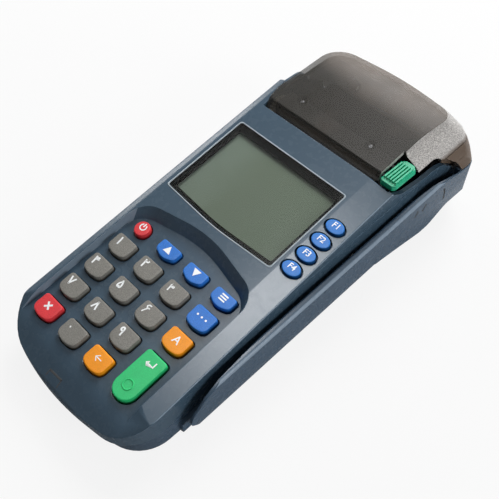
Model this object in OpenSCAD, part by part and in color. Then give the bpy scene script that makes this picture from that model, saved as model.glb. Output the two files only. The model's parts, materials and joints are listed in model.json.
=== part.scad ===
// Counter payment terminal: keypad, display, printer under a hinged cover, swipe rail and chip-card slot.
// The origin is on the table under the middle of the body, +X to the rail side, +Y to the printer, +Z up.

/* [Body] */
// Length from the front lip to the rear wall
body_l = 207.8; // [200:0.2:216]
// Width over the swipe rail
body_w = 88; // [86:0.5:94]
// Height of the deck plane above the table, halfway along the body
deck_z = 38.5; // [37:0.25:41]
// Slope of the deck, rising to the rear
deck_slope = 9.6; // [8.5:0.1:11]
// Wall of the moulded shells
wall = 2.2; // [1.8:0.1:2.6]
// Radius of the front corners seen from above
front_corner_r = 18; // [12:1:22]
// Rounding of the front's left corner
left_corner_r = 22; // [12:1:23]
// Radius of the bowed front edge
front_bow_r = 120; // [100:5:125]
// Angle by which the front edge sweeps back to each side
front_sweep = 9; // [6:0.5:10]
// Height of the front lip's upright face above the table
lip_z = 13.5; // [12:0.5:15]
// Height of the parting line between the shells, halfway along the body
seam_z = 17; // [16:0.25:18]
// Slope of the parting line
seam_slope = 3.85; // [3:0.05:4.2]
// Visible gap along the parting line
seam_gap = 0.25; // [0.1:0.05:0.5]
// Distance by which the front lip overhangs the base
lip_overhang = 4.2; // [3:0.2:6]

/* [Side strips] */
// Width of the sloped strip along the left edge
left_strip_w = 4.4; // [3:0.2:6]
// Fall of the left strip
left_strip_fall = 1.9; // [1:0.1:3]
// Width of the sloped strip along the right edge
right_strip_w = 11.6; // [10.5:0.1:12.5]
// Fall of the right strip
right_strip_fall = 1.1; // [0.5:0.1:2]

/* [Swipe rail] */
// Thickness of the rail
rail_t = 3.9; // [3:0.1:5]
// Width of the card slot
slot_w = 2.1; // [1.6:0.1:2.6]
// Depth of the card slot
slot_depth = 16; // [13:0.5:18]
// Height of the rail's top, halfway along the body
rail_z = 28.8; // [27:0.2:30]
// Slope of the rail's top
rail_slope = 3.35; // [2.5:0.05:4]
// Distance of the rail's nose from the front lip
rail_nose_y = 28; // [24:1:40]

/* [Chip-card slot] */
// Width of the card slot's mouth
card_w = 57; // [55:0.5:60]
// Height of the mouth
card_mouth_h = 3; // [2:0.1:3.6]
// Middle of the slot, to the left of the body's middle
card_x = 5; // [3:0.5:7]

/* [Keypad] */
// Height of the keypad floor, carried to the body's middle
floor_z = 33.5; // [32.5:0.25:34.5]
// Slope of the keypad floor
keypad_slope = 8.4; // [7.8:0.1:9]
// Thickness of the keypad floor
floor_t = 2; // [1.6:0.1:2.4]
// Room between the basin's side and the outer keys
key_side = 3.55; // [3:0.05:4]
// Distance between key rows
key_pitch_y = 12.86; // [12:0.02:13.2]
// Distance between the first row of small keys and the next row
top_pitch_y = 11.5; // [10.5:0.1:12]
// How far the keys sit left of the basin's middle
key_shift = 0.4; // [0:0.1:0.8]
// From the front to the middle of the front row of keys
front_row_in = 17.9; // [16:0.1:20]
// Width of a key
key_w = 11.4; // [9:0.1:12.4]
// Length of a digit key
key_l = 9.2; // [7:0.1:9.8]
// Length of an arrow key
arrow_l = 7; // [5:0.1:7.6]
// Diameter of the power key
power_d = 7.6; // [5:0.1:9]
// Height of the keys above the floor
key_h = 2.6; // [2:0.1:3.2]
// Gap between a key and its hole
key_gap = 0.35; // [0.25:0.05:0.5]
// Travel of a keypad key
key_travel = 1.5; // [0.8:0.1:1.8]
// Width of the flange that keeps a key in
flange_w = 0.9; // [0.6:0.1:1]
// Width of the flange on an oval key
oval_flange = 0.45; // [0.3:0.05:0.5]
// Thickness of that flange
flange_t = 1; // [0.6:0.1:1.2]
// From the rear row of keys to the basin's rear
basin_back = 11.32; // [10:0.02:13]
// Run of the basin's sloped rear wall
basin_run = 7; // [5:0.5:9]
// From the left side to the basin
basin_left = 5.4; // [4.5:0.1:7]
// From the slot to the basin
basin_right = 8.6; // [8:0.1:10]

/* [Function keys] */
// Width of an oval key
oval_w = 9.6; // [8:0.1:10]
// Length of an oval key
oval_l = 7; // [5.5:0.1:7.2]
// Distance between oval keys
oval_pitch = 8.34; // [8:0.02:9]
// How far the keys sit in front of the display's middle
oval_front = 4.9; // [3:0.1:7]
// Travel of an oval key
oval_travel = 0.9; // [0.5:0.1:1]
// Height of an oval key above the deck plane
oval_h = 0.5; // [0.2:0.1:1.2]

/* [Display] */
// From the left side to the window
lens_left = 6.6; // [6:0.1:8]
// From the window to the right strip
lens_right = 2.2; // [1.6:0.1:3]
// From the basin's rear to the window
lens_front = 10.9; // [9:0.1:12]
// From the window to the deck's end
lens_rear = 13; // [11:0.1:15]
// Thickness of the lens
lens_t = 1.1; // [0.8:0.1:1.2]
// Thickness of the gasket under the lens
gasket_t = 0.3; // [0.2:0.05:0.4]
// Ledge that the lens rests on
lens_ledge = 1.6; // [1.5:0.1:2.5]
// Width of the border over the display's left side
border_left = 2.9; // [1.6:0.1:4]
// Width of the border over the display's right side
border_right = 1.6; // [1.6:0.1:4]
// Width of the border over the display's front
border_front = 1.8; // [1.6:0.1:4]
// Width of the border over the display's rear
border_rear = 3.7; // [1.6:0.1:4]
// Gap round the lens
lens_gap = 0.15; // [0.1:0.05:0.3]
// Bow of the lens's front edge
lens_bow = 1.5; // [0.5:0.1:2]
// Thickness of the display panel
lcd_t = 2.4; // [1.8:0.1:3]

/* [Cover] */
// Thickness of the cover
cover_t = 2; // [1.6:0.1:2.4]
// Gap between the cover and the shells
cover_gap = 0.4; // [0.3:0.05:0.6]
// Length of the printer bay, from the deck's end to the rear
bay_l = 61.2; // [60.9:0.1:62.4]
// Paper slit between the deck and the cover's front wall
paper_slit = 1.5; // [1.3:0.1:1.8]
// Run of the cover's sloped front wall
cover_front_run = 2.6; // [2:0.1:3.2]
// Height of the cover's front edge
cover_front_z = 48.4; // [47.8:0.1:49]
// Height of the cover's crown
cover_crown_z = 54; // [53.4:0.1:55]
// From the left side to the cover's flat top
cover_left = 7.5; // [7:0.1:8.5]
// From the slot to the cover's flat top
cover_right = 10.5; // [10:0.1:11.5]
// Distance of the hinge line from the rear wall
hinge_in = 5.9; // [5.6:0.1:6.4]
// Height of the hinge line
hinge_z = 30; // [29.5:0.1:30.5]
// Radius of the cover's rounded lower edge about the hinge
hinge_r = 7.8; // [7.6:0.1:8]
// Diameter of the hinge pins
hinge_pin_d = 2.4; // [2:0.1:2.6]
// Distance over the two hinge ears
hinge_span = 46; // [40:1:50]
// Running clearance of pins and shafts, on the radius
run_gap = 0.05; // [0.03:0.01:0.08]
// Clearance between pieces that move past each other
move_gap = 0.3; // [0.25:0.05:0.4]

/* [Latch] */
// Gap between the latch and the cover
latch_gap = 0.7; // [0.6:0.05:0.9]
// Width of the latch
latch_w = 8.6; // [8:0.1:8.6]
// Length of the latch
latch_l = 15.8; // [14:0.2:16]
// Number of ribs on the latch
latch_ribs = 5; // [4:1:7]

/* [Printer] */
// Diameter of the platen roller
platen_d = 8.4; // [7.6:0.2:8.8]
// What the paper's roller is shorter than the cover's flat top
platen_side = 6.5; // [6:0.1:8]
// Place of the platen behind the deck's rear edge
platen_y = 8.8; // [8.4:0.1:9.2]
// Height of the platen
platen_z = 39.5; // [39:0.1:40]
// Module of the gears
gear_m = 0.5; // [0.48:0.01:0.52]
// Inner radius of the paper bucket
bucket_r = 21; // [19:0.5:21.5]
// Wall of the paper bucket
bucket_t = 1.5; // [1.2:0.1:1.8]

/* [Base fittings] */
// Height of the rubber feet below the base
foot_h = 1; // [0.8:0.1:1.4]
// Diameter of the feet
foot_d = 10; // [8:0.5:12]
// Diameter of the case screws
screw_d = 2.6; // [2.2:0.1:3]
// Thickness of the circuit boards
board_t = 1.6; // [1:0.1:1.8]

/* [Hidden] */
$fn = 48;

// Places that several pieces share
x_left = -body_w / 2;
x_rail = body_w / 2;
x_right = x_rail - rail_t - slot_w;
x_mid = (x_left + x_right) / 2;
half_w = (x_right - x_left) / 2;
y_front = -body_l / 2;
y_rear = body_l / 2;
base_z = foot_h;
base_floor_z = base_z + 2;
tall = 80;
far = 300;
deck_end_y = y_rear - bay_l;
cover_top_w = x_right - x_left - cover_left - cover_right;
cover_x = x_left + cover_left + cover_top_w / 2;
platen_l = cover_top_w - platen_side;
basin_w = x_right - x_left - basin_left - basin_right;
basin_mid = x_left + basin_left + basin_w / 2;
keypad_x = key_shift - basin_mid;
key_pitch_x = (basin_w - key_w - 2 * key_side) / 3;
front_row_v = -y_front - front_row_in;
basin_rear_v = front_row_v - 3 * key_pitch_y - top_pitch_y - basin_back;
lens_w = x_right - right_strip_w - x_left - lens_left - lens_right;
lens_x = -x_left - lens_left - lens_w / 2;
lens_l = deck_end_y - lens_rear + basin_rear_v - lens_front;
lens_y = (deck_end_y - lens_rear - basin_rear_v + lens_front) / 2;
oval_y = lens_y - oval_front;
hinge_y = y_rear - hinge_in;
platen_at = deck_end_y + platen_y;
cover_front_y = deck_end_y + paper_slit;

// Heights of the sloped planes at a place along the body
function deck_at(y) = deck_z + y * tan(deck_slope);
function seam_at(y) = seam_z + y * tan(seam_slope);

// Points of an arc
function arc(c, r, a0, a1, n) =
    [for (i = [0:n]) c + r * [cos(a0 + (a1 - a0) * i / n), sin(a0 + (a1 - a0) * i / n)]];

// One corner of an outline, rounded to a radius that its two edges leave room for
function corner(a, p, b, radius, n) =
    let (u = (a - p) / norm(a - p))
    let (v = (b - p) / norm(b - p))
    let (half = acos(u * v) / 2)
    let (r = min(radius, 0.48 * min(norm(a - p), norm(b - p)) * tan(half)))
    let (c = p + (u + v) / norm(u + v) * r / sin(half))
    let (s = p + u * r / tan(half) - c)
    let (e = p + v * r / tan(half) - c)
    let (a0 = atan2(s.y, s.x))
    let (turn = atan2(e.y, e.x) - a0)
    arc(c, r, a0, a0 + (turn > 180 ? turn - 360 : turn < -180 ? turn + 360 : turn), n);

// An outline whose corners are [x, y, radius]
function rounded(pts, n = 6) =
    let (last = len(pts) - 1)
    [for (i = [0:last])
        let (a = pts[i == 0 ? last : i - 1])
        let (p = pts[i])
        let (b = pts[i == last ? 0 : i + 1])
        each p.z > 0 ? corner([a.x, a.y], [p.x, p.y], [b.x, b.y], p.z, n) : [[p.x, p.y]]];

// A solid skinned over rings of equal length, the lowest first
module loft(rings) {
    n = len(rings[0]);
    points = [for (ring = rings) each ring];
    sides = [for (k = [0:len(rings) - 2]) for (i = [0:n - 1])
        let (j = (i + 1) % n)
        each [[k * n + i, (k + 1) * n + i, (k + 1) * n + j], [k * n + i, (k + 1) * n + j, k * n + j]]];
    bottom = [for (i = [0:n - 1]) i];
    top = [for (i = [n - 1:-1:0]) (len(rings) - 1) * n + i];
    polyhedron(points, concat([bottom], sides, [top]));
}

// Extrudes a profile drawn in Y and Z along X
module along_x(x0, x1) {
    translate([x0, 0, 0]) rotate([90, 0, 90]) linear_extrude(x1 - x0) children();
}

// Extrudes a profile drawn in X and Z along Y
module along_y(y0, y1) {
    translate([0, y1, 0]) rotate([90, 0, 0]) linear_extrude(y1 - y0) children();
}

// Frames of the deck, the keypad floor and the rail
module on_deck() {
    translate([0, 0, deck_z]) rotate([deck_slope, 0, 0]) children();
}
module on_keypad() {
    translate([0, 0, floor_z]) rotate([keypad_slope, 0, 0]) children();
}
module on_rail() {
    translate([0, 0, rail_z]) rotate([rail_slope, 0, 0]) children();
}

// A rod along X between two places
module rod_x(x0, x1, y, z, d) {
    translate([x0, y, z]) rotate([0, 90, 0]) cylinder(d = d, h = x1 - x0);
}

// A rod along Y between two places
module rod_y(x, z, y0, y1, d) {
    translate([x, y0, z]) rotate([-90, 0, 0]) cylinder(d = d, h = y1 - y0);
}

// A slab between two corners
module slab(a, b) {
    translate(a) cube(b - a);
}

// Plan of the upper shell, drawn in by d
front_tip_y = y_front - front_bow_r * (1 / cos(front_sweep) - 1);
front_side_y = front_tip_y + tan(front_sweep) * half_w;
rear_corner_r = 12;
rear_bow_r = 140;
rear_sweep = 4.6;
rear_tip_y = y_rear + rear_bow_r * (1 / cos(rear_sweep) - 1);
function rear_at(x) = rear_tip_y - tan(rear_sweep) * abs(x);
function top_plan(d) = rounded([
    [x_left + d, front_side_y + d, left_corner_r - d],
    [x_mid, front_tip_y + d, front_bow_r],
    [x_right - d, front_side_y + d, front_corner_r - d],
    [x_right - d, rear_at(x_right) - d, 4 - d],
    [0, rear_tip_y - d, rear_bow_r],
    [x_left + d, rear_at(x_left) - d, rear_corner_r - d]], 10);

// Side profile of the upper shell
lip_r = 6;
roll_r = 20;
roll_y = y_front + 19;
function top_profile(d, low) = rounded([
    [y_front + d, seam_at(y_front) - low, 0],
    [y_front + d, lip_z - d * 0.6, lip_r],
    [roll_y, deck_at(roll_y) - d / cos(deck_slope), roll_r],
    [y_rear + 5, deck_at(y_rear + 5) - d / cos(deck_slope), 0],
    [y_rear + 5, seam_at(y_rear + 5) - low, 0]], 10);

// Cross-section of the upper shell, square to the deck
edge_r = 2.4;
function top_section(d) = rounded([
    [x_left + d, -tall, 0],
    [x_left + d, -left_strip_fall - d, edge_r],
    [x_left + left_strip_w + d / 2, -d, 6],
    [x_right - right_strip_w, -d, 4],
    [x_right - d, -right_strip_fall - d, 0.5],
    [x_right - d, -tall, 0]], 6);

module top_form(d = 0, low = 0) {
    intersection() {
        linear_extrude(tall) polygon(top_plan(d));
        along_x(-body_w, body_w) polygon(top_profile(d, low));
        on_deck() along_y(-body_l, body_l) polygon(top_section(d));
    }
}

// Keypad basin, open at the front, drawn out by d
basin_top = 7;
function basin_plan(d, w) = [for (p = rounded([
    [basin_mid - basin_w / 2 - d - w / 8, y_front - 30, 0],
    [basin_mid + basin_w / 2 + d + w / 8, y_front - 30, 0],
    [basin_mid + basin_w / 2 + d + w / 8, -basin_rear_v - 6.5 + d + w * basin_run / basin_top, 11],
    [basin_mid, -basin_rear_v + 0.8 + d + w * basin_run / basin_top, 60],
    [basin_mid - basin_w / 2 - d - w / 8, -basin_rear_v - 6.5 + d + w * basin_run / basin_top, 11]], 9))
    [p.x, p.y, w]];
module basin(d = 0, drop = 0) {
    on_keypad() translate([0, 0, -drop]) loft([for (w = [0, basin_top + drop]) basin_plan(d, w)]);
}

// Plan of the printer bay between its side walls
bay_left = x_left + wall;
bay_right = x_right - wall;
neck_left = cover_x - cover_top_w / 2 - 0.4;
neck_right = cover_x + cover_top_w / 2 + 0.9;
shoulder_y = deck_end_y + 17.6;
shoulder_x = neck_left - 2.7;
function bay_plan() = [
    [neck_left - cover_gap, deck_end_y], [bay_right, deck_end_y], [bay_right, far], [bay_left, far],
    [bay_left, shoulder_y - cover_gap], [shoulder_x - cover_gap, shoulder_y - cover_gap],
    [neck_left - cover_gap, deck_end_y + 3]];
function cover_plan() = [
    [neck_left, cover_front_y - 1], [neck_right, cover_front_y - 1], [neck_right, shoulder_y + latch_gap],
    [far, shoulder_y + latch_gap], [far, far], [-far, far], [-far, shoulder_y], [shoulder_x, shoulder_y],
    [neck_left, deck_end_y + 3]];

// Side region of the cover, from its lower edge up, grown by g
cover_edge_z = 44.3;
function cover_edge(y0, g) = concat(
    [[y0 - g, tall], [y0 - g, cover_edge_z - g], [shoulder_y, cover_edge_z - g]],
    arc([shoulder_y + 10.7, cover_edge_z - 7.3], 7.3 - g, 95, 10, 8),
    arc([hinge_y, hinge_z], hinge_r + g, 185, 318, 16),
    [[y_rear + 6, hinge_z], [y_rear + 6, tall]]);

// Top edge of the right wall of the bay, lowered beside the latch as a finger recess
function right_wall_cut() = rounded([
    [deck_end_y + 0.6, tall, 0],
    [deck_end_y + 0.6, 44, 2],
    [deck_end_y + 8.3, 39.4, 8],
    [shoulder_y + 3.7, 37.4, 14],
    [shoulder_y + 17.7, 37.2, 16],
    [hinge_y - 4.4, 25, 6],
    [y_rear + 6, 20, 0],
    [y_rear + 6, tall, 0]], 6);

// Key table: column and place of each row along the keypad floor
function col_x(c) = -keypad_x + (c - 1.5) * key_pitch_x;
function row_v(r) = -front_row_v + (4 - r) * key_pitch_y - (r == 0 ? key_pitch_y - top_pitch_y : 0);

// Key outlines, drawn out by d: straight rear edge and a rounder front
function digit_plan(l, d) = rounded([
    [-key_w / 2 - d, -l / 2 + 0.9 - d, 3 + d],
    [0, -l / 2 - 0.5 - d, 11],
    [key_w / 2 + d, -l / 2 + 0.9 - d, 3 + d],
    [key_w / 2 + d, l / 2 + d, 1.4 + d],
    [-key_w / 2 - d, l / 2 + d, 1.4 + d]], 5);
function arrow_plan(d) = rounded([
    [-key_w / 2 - d, -arrow_l / 2 + 1.6 - d, 2.4 + d],
    [0, -arrow_l / 2 - 0.8 - d, 9],
    [key_w / 2 + d, -arrow_l / 2 + 1.6 - d, 2.4 + d],
    [key_w / 2 + d, arrow_l / 2 + d, 1.2 + d],
    [-key_w / 2 - d, arrow_l / 2 + d, 1.2 + d]], 5);
function enter_plan(d) = rounded([
    [-key_w / 2 - d, -key_l / 2 - key_pitch_y / 2 - d, key_w / 2 - 0.4 + d],
    [key_w / 2 + d, -key_l / 2 - key_pitch_y / 2 - d, key_w / 2 - 0.4 + d],
    [key_w / 2 + d, key_l / 2 + key_pitch_y / 2 + d, 1.6 + d],
    [-key_w / 2 - d, key_l / 2 + key_pitch_y / 2 + d, 1.6 + d]], 8);
function round_plan(w, l, d) = [for (a = [0:15:345]) [(w / 2 + d) * cos(a), (l / 2 + d) * sin(a)]];
function key_plan(kind, d) =
    kind == "arrow" ? arrow_plan(d) :
    kind == "enter" ? enter_plan(d) :
    kind == "power" ? round_plan(power_d, power_d, d) :
    kind == "oval" ? round_plan(oval_w, oval_l, d) : digit_plan(key_l, d);

// Rings of a key cap: upright sides, a rounded edge and a flat top
edge = 0.7;
function cap_rings(kind, low, high) = [
    for (s = [[0, low], [0, high - edge], [0.3 * edge, high - 0.3 * edge], [edge, high]])
        [for (p = key_plan(kind, -s[0])) [p.x, p.y, s[1]]]];
module key_cap(kind, floor_low, high, rim) {
    loft(cap_rings(kind, -floor_low - seat_gap - flange_t, high));
    translate([0, 0, -floor_low - seat_gap - flange_t]) linear_extrude(flange_t) polygon(key_plan(kind, rim));
}
seat_gap = 0.15;
module key(c, r, kind) {
    on_keypad() translate([col_x(c), row_v(r), 0]) key_cap(kind, floor_t, key_h, flange_w);
}
module oval_key(i) {
    color("#4b93de")
        on_deck() translate([oval_x, oval_v(i), 0]) key_cap("oval", deck_low, oval_h, oval_flange);
}
oval_x = x_right - right_strip_w / 2 - 1;
deck_low = wall + right_strip_fall / 2;
function oval_v(i) = (oval_y + (1.5 - i) * oval_pitch) / cos(deck_slope);
oval_room = seat_gap + flange_t + oval_travel + move_gap;
enter_v = (row_v(3) + row_v(4)) / 2;

// Every hole for a keypad key, grown by d
module key_holes(d) {
    for (k = KEY_SPOTS)
        translate([col_x(k[0]), k[1], 0]) linear_extrude(tall, center = true) polygon(key_plan(k[2], d));
}
KEY_SPOTS = concat(
    [[0, row_v(0), "power"], [1, row_v(0), "arrow"], [2, row_v(0), "arrow"], [3, row_v(0), "arrow"],
     [3, row_v(1), "digit"], [3, row_v(2), "digit"], [3, enter_v, "enter"]],
    [for (c = [0:2]) for (r = [1:4]) [c, row_v(r), "digit"]]);

// Outline of the lens, drawn in by d
function lens_plan(d) = rounded([
    [-lens_w / 2 + d, -lens_l / 2 + lens_bow + d, 1.2],
    [0, -lens_l / 2 - 0.4 + d, 120],
    [lens_w / 2 - d, -lens_l / 2 + lens_bow + d, 1.2],
    [lens_w / 2 - d, lens_l / 2 - d, 1.2],
    [-lens_w / 2 + d, lens_l / 2 - d, 1.2]], 4);
function view_plan() = rounded([
    [-lens_w / 2 + border_left, -lens_l / 2 + lens_bow + border_front, 1],
    [0, -lens_l / 2 - 0.4 + border_front, 120],
    [lens_w / 2 - border_right, -lens_l / 2 + lens_bow + border_front, 1],
    [lens_w / 2 - border_right, lens_l / 2 - border_rear, 1],
    [-lens_w / 2 + border_left, lens_l / 2 - border_rear, 1]], 4);
module on_lens(w) {
    on_deck() translate([-lens_x, lens_y / cos(deck_slope), w]) children();
}
lens_seat = lens_t + gasket_t;
ledge_t = 1;
lcd_w = lens_seat + ledge_t;

// Screws that hold the two shells together
screw_in = 4.2;
SCREW_SPOTS = [
    [x_left + screw_in, y_front + 33.9], [x_right - screw_in, y_front + 33.9],
    [x_left + screw_in, deck_end_y - 8.3], [x_right - screw_in, deck_end_y - 12.7]];
screw_join_z = 12;
post_r = screw_d / 2 + 1.7;

// Posts under the floor that the membrane hangs on, between the keys
dome_h = 0.5;
membrane_w = floor_t + seat_gap + flange_t + key_travel + dome_h + 0.25;
membrane_t = 1;
POST_SPOTS = [for (c = [0.5, 2.5]) for (r = [1.5, 3.5]) [col_x(c), (row_v(floor(r)) + row_v(ceil(r))) / 2]];

// Function keys press on a narrow board under the deck
function_w = deck_low + oval_room;
function_l = 3 * oval_pitch + oval_l + 14;
FUNCTION_POSTS = [for (s = [-1, 1]) [oval_x, oval_y + s * (function_l / 2 - 2.5)]];

// Window for the read head in the slot's inner wall
head_y = 20;
head_w = 12;
head_h = 7;
head_drop = 7.4;
module head_window(g) {
    on_rail() slab(
        [x_right - wall - 6, head_y - head_w / 2 - g, -head_drop - head_h / 2 - g],
        [x_right + 1, head_y + head_w / 2 + g, -head_drop + head_h / 2 + g]);
}
HEAD_POSTS = [for (s = [-1, 1]) head_y + s * (head_w / 2 + 4)];

// Raised pad along the slot's inner wall
liner_t = 0.5;
liner_y0 = -30;
liner_y1 = shoulder_y + 1.7;
module slot_liner() {
    on_rail() slab([x_right - wall / 2, liner_y0, -slot_depth + 5.5], [x_right + liner_t, liner_y1, 5]);
}

module top_housing() {
    color("#66738a") difference() {
        union() {
            difference() {
                union() {
                    top_form();
                    slot_liner();
                }
                difference() {
                    top_form(wall, 30);
                    basin(wall, floor_t);
                    on_lens(-lcd_w - lcd_t) linear_extrude(lcd_w + lcd_t - wall / 2) polygon(lens_plan(-1.5));
                }
                linear_extrude(tall) polygon(bay_plan());
                along_x(x_right - wall - 0.5, far) polygon(right_wall_cut());
                along_x(-far, x_mid) polygon(cover_edge(shoulder_y, cover_gap));
                slab([-far, hinge_y - hinge_r / 2, 0], [far, far, tall]);
                rod_x(-far, far, hinge_y, hinge_z, 2 * (hinge_r + cover_gap));
            }
            housing_posts();
        }
        basin();
        on_keypad() key_holes(key_gap);
        on_deck() for (i = [0:3]) translate([oval_x, oval_v(i), 0]) {
            linear_extrude(20, center = true) polygon(key_plan("oval", key_gap));
            translate([0, 0, -deck_low - oval_room])
                linear_extrude(oval_room) polygon(key_plan("oval", oval_flange + move_gap));
        }
        on_lens(-lens_seat) linear_extrude(20) polygon(lens_plan(-lens_gap));
        on_lens(-20) linear_extrude(40) polygon(lens_plan(lens_ledge));
        on_lens(-lcd_w - lcd_t - 1) linear_extrude(lcd_t + 1) polygon(lens_plan(lens_ledge - 1));
        for (s = SCREW_SPOTS)
            translate([s.x, s.y, 0]) cylinder(d = screw_d + 2 * run_gap, h = screw_join_z + 9);
        head_window(0.3);
    }
}

// Screw posts, board posts and the read head's mounts, trimmed to the shell
module housing_posts() {
    intersection() {
        union() {
            for (s = SCREW_SPOTS) translate([s.x, s.y, screw_join_z]) cylinder(r = post_r, h = tall);
            on_keypad() for (p = POST_SPOTS)
                translate([p.x, p.y, -membrane_w]) cylinder(d = 2.4, h = membrane_w - floor_t / 2);
            on_deck() for (p = FUNCTION_POSTS)
                translate([p.x, p.y, -function_w]) cylinder(d = 3, h = function_w - wall / 2);
            on_rail() for (y = HEAD_POSTS)
                slab([x_right - wall - 6, y - 1, -head_drop - 2], [x_right - wall / 2, y + 1, -head_drop + 2]);
        }
        top_form(wall / 2, 30);
    }
}

// Plan of the base, drawn in by d
base_front_y = y_front + lip_overhang;
function base_plan(d) = rounded([
    [x_left + d, base_front_y + 3 + d, left_corner_r - 3 - d],
    [x_mid, base_front_y - 1 + d, front_bow_r],
    [x_right - d, base_front_y + 3 + d, front_corner_r - 1 - d],
    [x_right - d, rear_at(x_right) - d, 4 - d],
    [0, rear_tip_y - d, rear_bow_r],
    [x_left + d, rear_at(x_left) - d, rear_corner_r - d]], 10);

// Section of the rail, with the slot's floor at its foot and its belly let down by drop
function rail_section(drop) = rounded([
    [x_rail - rail_t, 0, 1],
    [x_rail - rail_t, -slot_depth, 0],
    [x_right - wall / 2, -slot_depth, 0],
    [x_right - wall / 2, -slot_depth - 8 - drop, 0],
    [x_right + 0.4, -slot_depth - 7.6 - drop, 3],
    [x_rail - 0.6, -slot_depth - 2.6 - drop, 4],
    [x_rail, -slot_depth + 3, 10],
    [x_rail - 0.4, -0.5, 1.8]], 6);

// Side view of the rail: its rear end passes under the cover's skirt
rail_nose = y_front + rail_nose_y;
rail_end = y_rear - 15.4;
rail_corner_r = 8;
function rail_profile() = rounded([
    [rail_nose, base_z, 0],
    [y_rear, base_z, 0],
    [y_rear, hinge_z - cover_gap, 2],
    [rail_end - 1, hinge_z - cover_gap, 6],
    [rail_end - 22, 33.8, 40],
    [rail_nose, 26.5, 9]], 10);
function rail_plan() = rounded([
    [0, rail_nose - 2, 0],
    [x_rail, rail_nose - 2, 3],
    [x_rail, rear_at(x_rail), rail_corner_r],
    [0, rear_tip_y, 0]], 10);

// The belly beside the reader, deepest at belly_y
belly_y = y_rear - 36.5;
belly_z = 6.2;
function belly_profile() = rounded([
    [belly_y - 36, hinge_z, 0],
    [belly_y - 36, belly_z + 7.2, 0],
    [belly_y - 20, belly_z + 4, 24],
    [belly_y - 2.5, belly_z, 9],
    [belly_y + 3.5, belly_z, 9],
    [belly_y + 15, belly_z + 6.2, 8],
    [y_rear, belly_z + 6.2, 0],
    [y_rear, hinge_z - cover_gap, 0]], 8);

// The slot opens toward both ends, where the rail thins to its tip
tip_t = 1.2;
flare_y0 = rail_nose + 44;
flare_y1 = rail_end - 36;
function flare_plan() = rounded([
    [x_right, rail_nose - 4, 0],
    [x_rail - tip_t, rail_nose - 4, 0],
    [x_rail - tip_t, rail_nose + 6, 12],
    [x_rail - rail_t, flare_y0, 60],
    [x_rail - rail_t, flare_y1, 60],
    [x_rail - tip_t, rail_end - 3, 12],
    [x_rail - tip_t, rail_end, 0],
    [x_right, rail_end, 0]], 6);

// What is cut from the rail's blade to round its nose
function nose_cut() = rounded([
    [rail_nose - 5, 0, 0],
    [rail_nose + 17, 0, 0],
    [rail_nose + 12, 4.2, 8],
    [rail_nose + 5.6, 6.4, 7],
    [rail_nose + 1, 12.4, 3],
    [rail_nose + 3, 16.4, 4],
    [rail_nose + 9.4, 21.6, 8],
    [rail_nose + 20, 26, 0],
    [rail_nose - 5, 40, 0]], 6);
module rail() {
    difference() {
        intersection() {
            union() {
                on_rail() along_y(-body_l, body_l) polygon(rail_section(0));
                intersection() {
                    on_rail() along_y(-body_l, body_l) polygon(rail_section(9));
                    along_x(0, body_w) polygon(belly_profile());
                }
            }
            along_x(0, body_w) polygon(rail_profile());
            linear_extrude(tall) polygon(rail_plan());
        }
        on_rail() translate([0, 0, -slot_depth + 0.4]) linear_extrude(tall) polygon(flare_plan());
        along_x(x_rail - rail_t, far) polygon(nose_cut());
    }
}

// Room for the swinging cover: the hinge's barrel, and a notch behind the rail's end
corner_sweep = 3.6;
module cover_room() {
    along_x(-far, x_right + move_gap) polygon(cover_edge(shoulder_y, cover_gap));
    along_x(x_right, far) polygon(concat(
        [[hinge_y, tall]],
        arc([hinge_y, hinge_z], corner_sweep + cover_gap, 270, 330, 6),
        [[far, hinge_z - corner_sweep / 2], [far, tall]]));
}

// Sockets in the rear wall: place, width and height of each opening
board_rise = 1.6;
socket_z = base_floor_z + board_rise + board_t;
POWER = [-30, 9, 11];
LINE = [-14, 11, 11];
NETWORK = [4, 14, 11.4];
SERIAL = [21, 11, 11];
socket_gap = 0.2;
socket_l = 13;
socket_face_y = rear_at(x_left) + 0.2;
module socket_opening(s) {
    slab([s[0] - s[1] / 2 - socket_gap, socket_face_y - socket_l - 2, socket_z - socket_gap],
        [s[0] + s[1] / 2 + socket_gap, far, socket_z + s[2] + socket_gap]);
}

// Door in the underside and its place
door_c = [-6, -8];
door_w = 46;
door_l = 40;
door_t = 1.4;
door_gap = 0.2;
FEET = [[x_left + 12, y_front + 21.9], [x_right - 14, y_front + 21.9],
    [x_left + 12, y_rear - 15.9], [x_right - 10, y_rear - 15.9]];
BOARD_POSTS = [
    [x_left + 10, -34], [x_right - 24, -34],
    [x_left + 10, deck_end_y + 17.3], [x_right - 16, deck_end_y + 17.3]];
FRAME_POSTS = [for (s = [-22.5, 22.5]) [cover_x + s, deck_end_y - 10.7]];
BUCKET_POSTS = [for (s = [-19.5, 19.5]) [cover_x + s, deck_end_y + 27.3]];
frame_foot_z = 14;
bucket_y = deck_end_y + 25.5;
bucket_z = 31;
bucket_low = bucket_z - bucket_r - bucket_t;
speaker_d = 15;
speaker_c = [x_right - 10.4, 4];

module base_housing() {
    color("#7a8498") difference() {
        union() {
            difference() {
                base_block(0, base_z);
                base_block(wall, base_floor_z);
            }
            rail();
            base_posts();
        }
        cover_room();
        for (s = [POWER, LINE, NETWORK, SERIAL]) socket_opening(s);
        for (s = SCREW_SPOTS) translate([s.x, s.y, 0]) screw_hole();
        for (s = SCREW_SPOTS) translate([s.x, s.y, screw_join_z]) cylinder(r = post_r + move_gap, h = tall);
        for (f = FEET) translate([f.x, f.y, 0]) cylinder(d = foot_d + 0.3, h = base_z + 0.8);
        door_cut(door_gap, base_z - 1, base_z + door_t);
        door_cut(-2.5, base_z - 1, base_floor_z + 1);
        card_mouth();
        for (a = [0:60:300])
            translate([speaker_c.x + 4 * cos(a), speaker_c.y + 4 * sin(a), 0]) cylinder(d = 1.6, h = 10);
    }
}

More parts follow.
